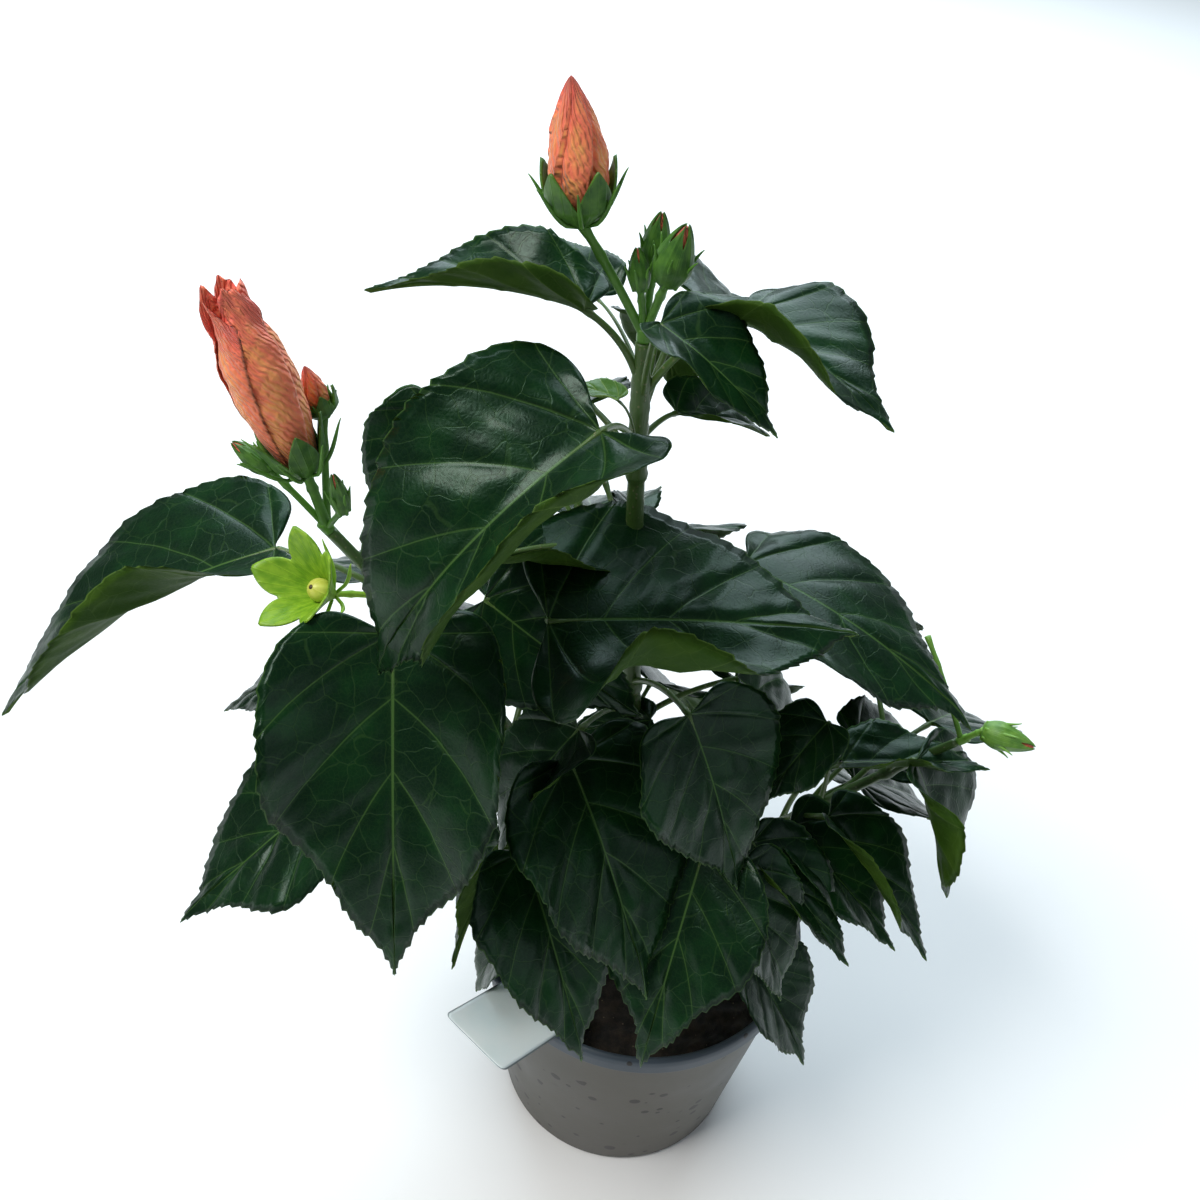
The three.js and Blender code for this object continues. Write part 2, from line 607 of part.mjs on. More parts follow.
/** The open calyx that stays when a flower has dropped, with its seed case. */
function spentCalyx(place, heading, rise, { length, radius, seed }) {
  const outline = (v) => [
    radius * Math.sin(Math.min(0.16 + v * 1.15, 1.35)) * (0.55 + 0.5 * v),
    v * length * (1 - 0.12 * v),
  ];
  const cup = lobedCup(outline, { lobes: 5, depth: 0.55, wall: CALYX.wall, floor: 0.1 });
  const ball = revolved(scaled(SEED_CASE, seed, 2.8 * seed), 8);
  const frill = { count: 6, length: length * 0.5, spread: radius * 1.1, start: 0.1, radius: radius * 0.5 };
  return solid(stand(cup, place, heading, rise))
    .add(solid(stand(ball, place, heading, rise)))
    .add(bracts(place, heading, rise, frill));
}

/** A stalk that joins two points, with a little arch. */
function spray(from, to, radius) {
  const arch = from.clone().lerp(to, 0.5);
  arch.z += from.distanceTo(to) * 0.05;
  const points = new THREE.QuadraticBezierCurve3(from, arch, to).getPoints(2);
  return tube(points, points.map((_, i) => radius * (1 - 0.12 * i)), 4);
}

const nodes = [];
const material = (color, roughness) => new THREE.MeshStandardMaterial({ color, roughness, metalness: 0 });
const FINISH = {
  pot: material(0x5a5850, 0.55),
  soil: material(0x241c15, 0.95),
  card: material(0xdfeef0, 0.35),
  wood: material(0x4f6b23, 0.6),
  leaf: material(0x1d4a20, 0.35),
  bud: material(0x7a9a3c, 0.5),
  lime: material(0xa4bf22, 0.5),
  petal: material(0xe8663a, 0.6),
};

/** Keeps a solid as a node. */
function node(name, made, finish) {
  nodes.push({ name, made, finish });
}

// ---- pot, potting mix and label ------------------------------------------------------------
const POT_SIDES = 30;
const SHOULDER = POT.height - POT.rimDeep; // where the wall meets the rim
const INSIDE = {
  low: { radius: POT.base - POT.wall - 0.5, z: POT.floor + 1.2 },
  high: { radius: POT.rim - POT.lip - 0.6, z: SHOULDER },
};

/** Radius of the pot's inside at a height. */
function insideRadius(z) {
  const { low, high } = INSIDE;
  return THREE.MathUtils.mapLinear(z, low.z, high.z, low.radius, high.radius);
}

/** The pot: a tapering wall with a rounded rim, open at the top. */
function potSolid() {
  const { rim, wallTop, base, height, lip, foot, floor } = POT;
  const { low, high } = INSIDE;
  const profile = [
    [0, 0], [base - foot, 0], [base, foot], [wallTop, SHOULDER], [rim - 0.4, SHOULDER + 0.8],
    [rim, height - 2.5], [rim - 1.2, height - 0.4], [rim - 2.2, height], [rim - lip, height - 1.2],
    [high.radius, high.z], [low.radius, low.z], [low.radius - foot, floor], [0, floor],
  ];
  return solid(revolved(profile, POT_SIDES));
}

/** The room of the pot's upper wall and rim: a plain ring round them. */
function rimRoom() {
  const { rim, height, lip } = POT;
  const inner = rim - lip - 0.6 - GAP;
  const low = height - 40;
  const profile = [[inner, low], [rim + GAP, low], [rim + GAP, height + GAP], [inner, height + GAP], [inner, low]];
  return solid(revolved(profile, POT_SIDES));
}

/** The potting mix, a little heaped at the stem. */
function mixSolid() {
  const low = POT.floor + 1.8;
  const edgeLevel = SOIL_LEVEL - 3;
  const profile = [
    [0, low], [insideRadius(low) - 2 - GAP, low], [insideRadius(low + 2) - GAP, low + 2],
    [insideRadius(edgeLevel) - GAP, edgeLevel], [insideRadius(edgeLevel) - 3, SOIL_LEVEL - 1.2],
    [30, SOIL_LEVEL - 0.6], [14, SOIL_LEVEL], [0, SOIL_LEVEL],
  ];
  return solid(revolved(profile, POT_SIDES));
}

/** The blank label: a card on a stake that leans over the rim into the mix. */
function labelSolid(extra = 0) {
  const { width, card, stake, neck, point, thick, heading, slope, reach } = LABEL;
  const half = width / 2 + extra;
  const end = card + stake + extra;
  const right = [[half, -extra], [half, card], [neck + extra, card + 6], [point + extra, end]];
  const left = right.map(([x, y]) => [-x, y]).reverse();
  const outline = new THREE.Shape([...right, ...left].map(([x, y]) => new THREE.Vector2(x, y)));
  const plate = new THREE.ExtrudeGeometry(outline, { depth: thick + 2 * extra, bevelEnabled: false });
  const inward = toward(heading + 180, -slope);
  const sideways = toward(heading + 270, 0);
  const up = sideways.clone().cross(inward);
  const outer = toward(heading, 0).multiplyScalar(reach);
  const crossing = Math.sqrt((POT.rim - 4) ** 2 - (width / 2) ** 2); // of the card's sides and the rim
  outer.z = POT.height + GAP + (reach - crossing) * Math.tan(degToRad(slope));
  outer.addScaledVector(up, -extra);
  plate.applyMatrix4(new THREE.Matrix4().makeBasis(sideways, inward, up).setPosition(outer));
  return solid(plate);
}

node("pot", potSolid(), FINISH.pot);
node("potting_mix", mixSolid().subtract(labelSolid(GAP)), FINISH.soil);
node("plant_label", labelSolid(), FINISH.card);

// ---- stem and boughs -----------------------------------------------------------------------
const rooms = [labelSolid(GAP), rimRoom()]; // what later solids are cut clear of

/** A solid cut clear of all the rooms so far. */
function clearOf(made) {
  return whole(rooms.reduce((left, room) => left.subtract(room), made));
}

/** Where a limb's lowest mass begins, so that the bare limb ends just short of it. */
function bareLength(limb) {
  const starts = Object.values(MASSES).filter((mass) => mass.limb === limb).map((mass) => mass.from);
  return Math.min(...starts) - GAP;
}

const STEM_SHAPE = { spacing: 9, levelFoot: true, flare: 4.2 };
const INTO_STEM = -3; // boughs are drawn from this far behind their feet and cut at the stem
node("main_stem", stretch(limbs.main, 0, bareLength("main"), STEM_SHAPE), FINISH.wood);
rooms.push(stretch(limbs.main, 0, bareLength("main") + GAP, { ...STEM_SHAPE, extra: GAP }));
for (const [key, name] of Object.entries(BOUGH_NAMES)) {
  node(name, clearOf(stretch(limbs[key], INTO_STEM, bareLength(key))), FINISH.wood);
  rooms.push(stretch(limbs[key], INTO_STEM, bareLength(key) + GAP, { extra: GAP }));
}

// ---- foliage -------------------------------------------------------------------------------
for (const [name, mass] of Object.entries(MASSES)) {
  node(name, clearOf(massSolid(mass)), FINISH.leaf);
  rooms.push(massSolid(mass, GAP));
}

// ---- flowers: sprays that begin at a limb's tip ----------------------------------------------
const SPRAYS = {
  flowers_top: {
    limb: "main", hub: 4, hubRadius: 1.9,
    stems: [
      { stalk: [-80, 56, 31], radius: 1.3, bud: "furled", axis: [-95, 82], length: 32, width: 7.1, lobe: 16 },
      { stalk: [38, 67, 16], radius: 1.3, bud: "green", axis: [58, 77], length: 17, width: 4.7 },
      { stalk: [173, 77, 15], radius: 1.2, bud: "green", axis: [90, 87], length: 14.5, width: 3.6 },
      { stalk: [-31, 72, 12], radius: 1.1, bud: "green", axis: [-90, 80], length: 11.4, width: 2.6 },
    ],
  },
  flowers_left: {
    limb: "left", hub: 4, hubRadius: 1.8,
    stems: [
      { stalk: [-30, 79, 18], radius: 1.7, bud: "opening", axis: [-92, 72], length: 55, width: 8.2, lobe: 17 },
      { stalk: [176, 72, 30], radius: 1.2, bud: "green", axis: [-90, 75], length: 15.5, width: 3.6 },
      { stalk: [-94, 50, 20], radius: 1.1, bud: "green", axis: [-90, 40], length: 13, width: 3.2 },
      { stalk: [52, 42, 14], radius: 1.0, bud: "green", axis: [-39, 80], length: 14.6, width: 2.6 },
    ],
  },
  buds_right: {
    limb: "right", hub: 4, hubRadius: 1.5,
    stems: [
      { stalk: [50, 65, 7], radius: 1.2, bud: "green", axis: [73, -2], length: 17.5, width: 4.6 },
      { stalk: [-137, 45, 36], radius: 1.0, bud: "none", axis: [0, 0], length: 0, width: 0 },
    ],
  },
};

for (const [name, { limb, hub, hubRadius, stems }] of Object.entries(SPRAYS)) {
  const line = limbs[limb];
  const tip = line.at(line.length + GAP + 0.05);
  const crotch = line.at(line.length + hub);
  let made = tube([tip, crotch], [hubRadius, hubRadius * 0.9], 6);
  let petals;
  for (const { stalk, radius, bud, axis, length, width, lobe } of stems) {
    const [heading, rise, reach] = stalk;
    const foot = crotch.clone().addScaledVector(toward(heading, rise), reach);
    const inside = foot.clone().addScaledVector(toward(...axis), bud === "none" ? 0 : 0.8);
    made = made.add(spray(line.at(line.length + 1.5), inside, radius));
    const size = { length, radius: width, lobe, shape: bud === "furled" ? furled : opening };
    if (bud === "green") made = made.add(greenBud(foot, ...axis, length, width));
    if (bud === "furled" || bud === "opening") made = made.add(calyx(foot, ...axis, size));
    const petalsOf = { furled: furledPetals, opening: openingPetals }[bud];
    if (petalsOf) {
      petals = petalsOf(foot, ...axis, size);
      rooms.push(petalsOf(foot, ...axis, size, GAP));
    }
  }
  if (petals) node(name.replace("flowers", "petals"), petals, FINISH.petal);
  node(name, clearOf(made), FINISH.bud);
}

// ---- the group ------------------------------------------------------------------------------
const group = new THREE.Group();
for (const { name, made, finish } of nodes) {
  const { vertProperties, triVerts, numProp } = made.getMesh();
  const geometry = new THREE.BufferGeometry();
  const points = new Float32Array((vertProperties.length / numProp) * 3);
  for (let i = 0; i < points.length / 3; i++) {
    points.set(vertProperties.subarray(i * numProp, i * numProp + 3), i * 3);
  }
  geometry.setAttribute("position", new THREE.BufferAttribute(points, 3));
  geometry.setIndex(new THREE.BufferAttribute(triVerts, 1));
  const mesh = new THREE.Mesh(geometry, finish.clone());
  mesh.name = name;
  group.add(mesh);
}

export default group;
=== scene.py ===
"""A young hibiscus shrub in a round nursery pot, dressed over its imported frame.

Lengths in the tables are millimetres and become metres when a mesh is built. Directions are
given as a heading and a rise in degrees: heading 0 points to the front (-Y), 90 to the right
(+X), -90 to the left and 180 to the back; rise is measured up from the level.
"""

import logging
import math
from collections.abc import Callable, Iterator, Sequence
from dataclasses import dataclass, field
from enum import Enum
from functools import reduce

import bpy
import numpy as np
from mathutils import Matrix, Vector


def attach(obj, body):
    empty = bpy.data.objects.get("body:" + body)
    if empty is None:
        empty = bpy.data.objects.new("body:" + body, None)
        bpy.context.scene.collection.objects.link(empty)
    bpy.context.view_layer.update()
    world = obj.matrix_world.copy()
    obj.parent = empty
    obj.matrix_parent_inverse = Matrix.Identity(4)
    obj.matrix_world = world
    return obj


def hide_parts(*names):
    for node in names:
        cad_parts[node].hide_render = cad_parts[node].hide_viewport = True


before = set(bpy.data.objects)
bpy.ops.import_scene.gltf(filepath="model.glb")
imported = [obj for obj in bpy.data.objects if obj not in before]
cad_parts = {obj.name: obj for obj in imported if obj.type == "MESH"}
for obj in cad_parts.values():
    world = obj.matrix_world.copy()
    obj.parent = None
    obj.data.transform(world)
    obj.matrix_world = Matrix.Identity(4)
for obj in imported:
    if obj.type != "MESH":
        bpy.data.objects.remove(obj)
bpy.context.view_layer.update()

LOG = logging.getLogger("hibiscus")
MM = 0.001
BODY = "root"
TAU = 2 * math.pi

Array = np.ndarray
Pair = tuple[float, float]
Triple = tuple[float, float, float]
Material = bpy.types.Material
Socket = bpy.types.NodeSocket


# ---- directions and small formulas --------------------------------------------------------------
def toward(heading: float, rise: float) -> Array:
    """Unit vector of a heading and a rise in degrees."""
    h, r = math.radians(heading), math.radians(rise)
    return np.array([math.sin(h) * math.cos(r), -math.cos(h) * math.cos(r), math.sin(r)])


def smooth(low: float, high: float, x: Array) -> Array:
    """The smooth step 3t^2 - 2t^3, with t running from 0 at low to 1 at high."""
    t = np.clip((np.asarray(x, float) - low) / (high - low), 0.0, 1.0)
    return t * t * (3.0 - 2.0 * t)


def unit(v: Array) -> Array:
    """Vectors scaled to length one along their last axis."""
    return v / np.maximum(np.linalg.norm(v, axis=-1, keepdims=True), 1e-12)


def round_angles(sides: int) -> Array:
    """Angles spread evenly round a circle, as one row."""
    return np.linspace(0, TAU, sides, endpoint=False)[None, :]


def bell(x: Array, place: float, spread: float) -> Array:
    """The bell exp(-t^2), where t is the distance of x from its place, counted in spreads."""
    return np.exp(-(((x - place) / spread) ** 2))


MULTIPLIER = 48271
MODULUS = 2**31 - 1


def dice(seed: int) -> Iterator[float]:
    """Park-Miller numbers between 0 and 1, the same from the same seed.

    Args:
        seed: The first state.

    Yields:
        The next number.
    """
    state = seed
    while True:
        state = state * MULTIPLIER % MODULUS
        yield state / MODULUS


WAVES = 5
QUICKEN = 0.45
CREST = 1.4


def ripples(x: Array, y: Array, seed: int) -> Array:
    """Smooth random height between about -1 and 1: a sum of plane waves of random direction.

    The first wave repeats once in each unit of length and every next one a little faster.

    Args:
        x: First coordinate.
        y: Second coordinate.
        seed: Chooses the directions and phases.

    Returns:
        The height at each point.
    """
    roll = dice(seed * 7919 + 13)
    total = np.zeros(np.broadcast(x, y).shape)
    for k in range(WAVES):
        turn = TAU * next(roll)
        rate = TAU * (1.0 + QUICKEN * k)
        phase = TAU * next(roll)
        total += np.sin(rate * (x * math.cos(turn) + y * math.sin(turn)) + phase)
    return total / math.sqrt(WAVES) / CREST


def curve_through(points: Sequence[Array], samples: int) -> Array:
    """A Catmull-Rom curve through points: cubic pieces whose tangents join the neighbours.

    Args:
        points: The points that it passes.
        samples: How many points are worked out.

    Returns:
        The points of the curve.
    """
    p = np.array(points, float)
    p = np.vstack([2 * p[0] - p[1], p, 2 * p[-1] - p[-2]])
    t = np.linspace(0, len(p) - 3 - 1e-9, samples)
    i = np.floor(t).astype(int)
    f = (t - i)[:, None]
    a, b, c, d = p[i], p[i + 1], p[i + 2], p[i + 3]
    square = 2 * a - 5 * b + 4 * c - d
    cube = 3 * b - a - 3 * c + d
    return 0.5 * (2 * b + (c - a) * f + square * f**2 + cube * f**3)


def distances(path: Array) -> Array:
    """The distance run at each point of a path."""
    return np.concatenate([[0], np.cumsum(np.linalg.norm(np.diff(path, axis=0), axis=1))])


def arch(start: Array, bow: Array, end: Array, samples: int) -> Array:
    """The parabola from start to end that sets out towards bow: (1-t)^2, 2t(1-t) and t^2 of the three.

    Args:
        start: First point.
        bow: The point towards which it sets out.
        end: Last point.
        samples: How many points are worked out.

    Returns:
        The points of the arch.
    """
    t = np.linspace(0, 1, samples)[:, None]
    return (1 - t) ** 2 * start + 2 * t * (1 - t) * bow + t**2 * end


def sides_of(path: Array) -> tuple[Array, Array]:
    """Two unit vectors square to a path at each of its points, which turn as little as can be.

    Args:
        path: Points of the path.

    Returns:
        The two rows of vectors.
    """
    tangent = unit(np.gradient(path, axis=0))
    side = np.cross(tangent[0], [0.0, 0.0, 1.0])
    if np.linalg.norm(side) < 0.2:
        side = np.cross(tangent[0], [0.0, 1.0, 0.0])
    sides = np.empty_like(path)
    for i, t in enumerate(tangent):
        side = side - t * (side @ t)
        side = side / np.linalg.norm(side)
        sides[i] = side
    return sides, np.cross(tangent, sides)


def stood_up(points: Array, place: Array, heading: float, rise: float) -> Array:
    """Points that stand on the origin along +Z, turned to a direction and moved to a place.

    Args:
        points: The points.
        place: Where their origin goes.
        heading: Heading of their axis.
        rise: Rise of their axis.

    Returns:
        The moved points.
    """
    turn = Vector((0, 0, 1)).rotation_difference(Vector(toward(heading, rise))).to_matrix()
    return points @ np.array(turn).T + place


# ---- meshes from grids --------------------------------------------------------------------------
@dataclass
class Draft:
    """One mesh in the making: grids of points with their faces, finishes and maps.

    Its bake map is divided into square cells, one for each sheet or closed body of the piece.
    """

    cells: int = 1
    used: int = 0
    points: list[Array] = field(default_factory=list)
    corners: list[Array] = field(default_factory=list)
    finishes: list[Array] = field(default_factory=list)
    map_values: dict[str, list[Array]] = field(default_factory=dict)
    count: int = 0

    MAPS = ("OFBake", "Pattern", "Plan", "Edge")
    MARGIN = 0.04

    def cell(self, u: Array, v: Array) -> Array:
        """The next cell of the bake map.

        Args:
            u: Share of the way across the cell.
            v: Share of the way up it.

        Returns:
            The places on the map.
        """
        side = math.ceil(math.sqrt(self.cells))
        row, column = divmod(self.used, side)
        self.used += 1
        inner = 1.0 - 2.0 * self.MARGIN
        across = (column + self.MARGIN + inner * u) / side
        upward = (row + self.MARGIN + inner * v) / side
        return np.stack([across, upward], -1)

    def pinched(self, rows: int, columns: int) -> Array:
        """Welds for the next grid that draw its first and its last row into one point each.

        Args:
            rows: Rows of that grid.
            columns: Its columns.

        Returns:
            Vertex numbers, -1 where a new one is wanted.
        """
        weld = np.full((rows, columns), -1)
        weld[0, :] = self.count
        weld[-1, :] = self.count + (rows - 1) * columns
        return weld

    def bordered(self, numbers: Array) -> Array:
        """Welds that give the next grid the border of one with these vertex numbers.

        Args:
            numbers: Vertex numbers of the grid that is there.

        Returns:
            Vertex numbers, -1 inside the border.
        """
        weld = numbers.copy()
        weld[1:-1, 1:-1] = -1
        return weld

    def add(self, grid: Array, maps: dict[str, Array], finish: int = 0, closed: bool = False,
            outward: bool = True, weld_with: Array | None = None) -> Array:
        """Adds a grid of quads.

        Args:
            grid: Points in millimetres, rows by columns by 3.
            maps: A map name to its corner values, rows by columns by 2.
            finish: Number of the finish that the faces take.
            closed: Whether the last column joins the first.
            outward: Whether rows x columns runs anticlockwise seen from outside.
            weld_with: Vertex numbers to use in place of new ones where they aren't negative.

        Returns:
            The vertex numbers, rows by columns.
        """
        rows, columns = grid.shape[:2]
        numbers = np.arange(rows * columns).reshape(rows, columns) + self.count
        self.points.append(grid.reshape(-1, 3))
        self.count += rows * columns
        if weld_with is not None:
            numbers = np.where(weld_with >= 0, weld_with, numbers)
        joined = np.concatenate([numbers, numbers[:, :1]], 1) if closed else numbers
        a, b, c, d = joined[:-1, :-1], joined[:-1, 1:], joined[1:, 1:], joined[1:, :-1]
        quads = np.stack([a, b, c, d], -1).reshape(-1, 4)
        self.corners.append(quads if outward else quads[:, ::-1])
        self.finishes.append(np.full(len(quads), finish))
        for name in self.MAPS:
            value = maps.get(name, np.zeros((rows, columns, 2)))
            if closed and value.shape[1] == columns:
                last = value[:, -1:] + (value[:, -1:] - value[:, -2:-1])
                value = np.concatenate([value, last], 1)
            four = [value[:-1, :-1], value[:-1, 1:], value[1:, 1:], value[1:, :-1]]
            stacked = np.stack(four, 2).reshape(-1, 4, 2)
            self.map_values.setdefault(name, []).append(stacked if outward else stacked[:, ::-1])
        return numbers

    def build(self, name: str, finishes: Sequence[Material], slot: str, node: str) -> None:
        """Makes the object, rides it on the body and hides the node it replaces.

        Args:
            name: The piece's name.
            finishes: The materials, in the order of their numbers.
            slot: Not used.
            node: The node that the piece replaces.
        """
        points = np.concatenate(self.points) * MM
        corners = np.concatenate(self.corners)
        kept = np.stack([corners[:, k] != corners[:, (k + 1) % 4] for k in range(4)], 1)
        sizes = kept.sum(1)
        real = sizes >= 3
        corners, kept, sizes = corners[real], kept[real], sizes[real]
        mesh = bpy.data.meshes.new(name)
        mesh.vertices.add(len(points))
        mesh.vertices.foreach_set("co", points.astype(np.float32).ravel())
        mesh.loops.add(int(sizes.sum()))
        mesh.loops.foreach_set("vertex_index", corners[kept].astype(np.int32))
        mesh.polygons.add(len(sizes))
        mesh.polygons.foreach_set("loop_start", (np.cumsum(sizes) - sizes).astype(np.int32))
        mesh.polygons.foreach_set("material_index", np.concatenate(self.finishes)[real].astype(np.int32))
        for map_name in self.MAPS:
            values = np.concatenate(self.map_values[map_name])[real][kept]
            mesh.uv_layers.new(name=map_name).data.foreach_set("uv", values.astype(np.float32).ravel())
        mesh.update(calc_edges=True)
        mesh.validate()
        mesh.shade_smooth()
        for finish in finishes:
            mesh.materials.append(finish)
        piece = bpy.data.objects.new(name, mesh)
        bpy.context.scene.collection.objects.link(piece)
        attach(piece, BODY)
        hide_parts(node)
        LOG.info("%s: %d points, %d faces", name, len(points), len(sizes))


def tube(draft: Draft, path: Array, radii: Array, sides: int = 10, finish: int = 0,
         relief: Array | None = None, pattern: Array | None = None) -> None:
    """A round limb carried along a path and closed at each end of it.

    Args:
        draft: The mesh to add to.
        path: Points of the centre line in millimetres.
        radii: Radius at each point.
        sides: Points round the limb.
        finish: Number of the finish.
        relief: Extra radius, points by sides.
        pattern: Values of the Pattern map, points by sides by 2.
    """
    side, other = sides_of(path)
    turn = round_angles(sides)[..., None]
    spread = np.asarray(radii)[:, None] + (relief if relief is not None else 0.0)
    ring = side[:, None] * np.cos(turn) + other[:, None] * np.sin(turn)
    grid = path[:, None] + ring * spread[..., None]
    ends = [np.repeat(path[i][None, None], sides, 1) for i in (0, -1)]
    grid = np.concatenate([ends[0], grid, ends[1]])
    rows = len(grid)
    u, v = np.meshgrid(np.arange(sides) / sides, np.linspace(0, 1, rows))
    run = distances(path)
    run = np.concatenate([run[:1], run, run[-1:]])[:, None]
    plan = np.stack([u * TAU * float(np.mean(radii)), np.broadcast_to(run, u.shape)], -1)
    maps = {"OFBake": draft.cell(u, v), "Plan": plan}
    if pattern is not None:
        maps["Pattern"] = np.concatenate([pattern[:1], pattern, pattern[-1:]])
    draft.add(grid, maps, finish, closed=True, weld_with=draft.pinched(rows, sides))


# ---- limbs --------------------------------------------------------------------------------------
@dataclass
class Limb:
    """An arc in one upright plane: its lean from upright turns evenly from first to second."""

    foot: Triple
    heading: float
    lean: Pair
    length: float
    radius: Pair
    points: Array = field(init=False)

    STEPS = 40

    def __post_init__(self) -> None:
        """Works out the centre line."""
        middles = (np.arange(self.STEPS) + 0.5) / self.STEPS
        leans = self.lean[0] + (self.lean[1] - self.lean[0]) * middles
        steps = np.array([toward(self.heading, 90 - lean) for lean in leans]) * self.length / self.STEPS
        self.points = np.vstack([self.foot, np.array(self.foot) + np.cumsum(steps, 0)])

    def at(self, distance: float) -> Array:
        """The point a distance along the limb, drawn on past its ends.

        Args:
            distance: Distance from the foot in millimetres.

        Returns:
            The point.
        """
        f = distance / self.length * self.STEPS
        i = min(max(math.floor(f), 0), self.STEPS - 1)
        return self.points[i] * (1 - (f - i)) + self.points[i + 1] * (f - i)

    def radius_at(self, distance: Array) -> Array:
        """The radius a distance along the limb."""
        return self.radius[0] + (self.radius[1] - self.radius[0]) * np.asarray(distance) / self.length


LIMBS = {
    "main": Limb((1, 3, 96.3), -64, (9, 3), 276, (4.6, 2.0)),
    "left": Limb((-5, 2, 104), -78, (20, 34), 228, (3.2, 1.7)),
    "right": Limb((7, 4, 104), 82, (24, 42), 158, (2.8, 1.4)),
    "front": Limb((4, -4, 104), 20, (20, 8), 112, (2.4, 1.5)),
    "lowLeft": Limb((-5, -3, 103), -35, (30, 20), 74, (2.3, 1.5)),
    "backLeft": Limb((-4, 9, 104), -150, (22, 30), 180, (2.8, 1.5)),
    "backRight": Limb((5, 9, 104), 150, (22, 36), 160, (2.8, 1.5)),
}


# ---- leaves -------------------------------------------------------------------------------------
@dataclass(frozen=True)
class Plan:
    """A blade's outline in blade lengths: x along the midrib from the stalk, y across it."""

    widest: float = 0.26
    share: float = 0.36
    lobe: float = 0.1
    lobe_skew: float = 1.5
    heel: float = 1.3
    roundness: float = 0.75
    point: float = 2.7
    slender: float = 0.38
    slender_over: Pair = (0.45, 0.8)

    def edge(self, s: Array, width: float) -> tuple[Array, Array]:
        """One half's edge.

        Behind the widest place the edge is a rounded quarter with a shallow lobe drawn back;
        in front of it x follows a cosine and y a sine to a power, which draws out the point,
        and the last stretch is slimmer still.

        Args:
            s: Share of the way from the notch at the stalk (0) to the tip (1).
            width: Width of the blade as a share of its length.

        Returns:
            The edge's x and y.
        """
        s = np.asarray(s, float)
        u = np.clip(1 - s / self.share, 0, 1)
        a = u * math.pi / 2
        back_x = self.widest * (1 - np.sin(a) ** self.heel)
        back_x = back_x - self.lobe * np.sin(math.pi * u**self.lobe_skew)
        back_y = width / 2 * np.maximum(np.cos(a), 0) ** self.roundness
        b = np.clip((1 - s) / (1 - self.share), 0, 1) * math.pi / 2
        front_x = self.widest + (1 - self.widest) * np.cos(b)
        front_y = width / 2 * np.sin(b) ** self.point
        front_y = front_y * (1 - self.slender * smooth(*self.slender_over, s))
        back = s < self.share
        return np.where(back, back_x, front_x), np.where(back, back_y, front_y)


PLAN = Plan()


@dataclass
class Leaf:
    """One leaf: where its stalk leaves the limb, the stalk, and how the blade hangs.

    The stalk is a heading, a rise and a length. The blade hangs by its midrib's heading and
    dip and its roll about the midrib; bend is the midrib's arc. Each half has a fold, its rise
    from the midrib, and a curl, how far it turns on over its breadth; angles are degrees.
    """

    at: float
    stalk: Triple
    hang: Triple
    length: float
    width: float
    bend: float
    left: Pair
    right: Pair
    young: bool = False

    LEAST = 0.01
    FOLD_LOST = 0.55
    CURL = 2.5
    CURL_LOST = 0.45
    CURL_ROOT = 0.3
    CURL_RISE = (-0.1, 0.3)

    def foot(self, limb: Limb) -> Array:
        """The blade's foot, at the end of the stalk."""
        return limb.at(self.at) + toward(self.stalk[0], self.stalk[1]) * self.stalk[2]

    def surface(self, limb: Limb, x: Array, y: Array) -> tuple[Array, Array]:
        """Points and normals of the blade at plan coordinates x and y.

        The midrib is an arc of the bend's angle. Each half rises from it at its fold angle and
        turns on by its curl with the distance from the midrib, less towards the tip.

        Args:
            limb: The limb that bears the leaf.
            x: Place along the midrib, as a share of the blade's length.
            y: Place across it in the same measure, negative on the left half.

        Returns:
            The points in millimetres and the upper side's normals.
        """
        x, y = np.broadcast_arrays(np.asarray(x, float), np.asarray(y, float))
        heading, dip, roll = self.hang
        along, level = toward(heading, -dip), toward(heading + 90, 0)
        face = np.cross(along, level)
        r = math.radians(roll)
        across = level * math.cos(r) + face * math.sin(r)
        normal = face * math.cos(r) - level * math.sin(r)
        turn = math.radians(self.bend or self.LEAST)
        t = np.clip(x, 0, 1)
        b = turn * (t - 0.5)
        a = (np.sin(b) + math.sin(turn / 2)) / turn + (x - t) * np.cos(b)
        h = (np.cos(b) - math.cos(turn / 2)) / turn - (x - t) * np.sin(b)
        up = normal * np.cos(b)[..., None] + along * np.sin(b)[..., None]
        fold = np.radians(np.where(y < 0, self.left[0], self.right[0])) * (1 - self.FOLD_LOST * t)
        curl = np.radians(np.where(y < 0, self.left[1] or self.LEAST, self.right[1] or self.LEAST))
        curl = curl * self.CURL * (1 - self.CURL_LOST * t)
        curl = curl * (self.CURL_ROOT + (1 - self.CURL_ROOT) * smooth(*self.CURL_RISE, x))
        e, side = np.abs(y), np.where(y < 0, -1.0, 1.0)
        sideways = side * (np.sin(fold + curl * e) - np.sin(fold)) / curl
        raised = (np.cos(fold) - np.cos(fold + curl * e)) / curl
        size = self.length
        points = (self.foot(limb) + along * (size * a)[..., None] + normal * (size * h)[..., None]
                  + across * (size * sideways)[..., None] + up * (size * raised)[..., None])
        lift = np.where(e > 0, fold + curl * e, 0.0)[..., None]
        return points, unit(up * np.cos(lift) - across * side[..., None] * np.sin(lift))


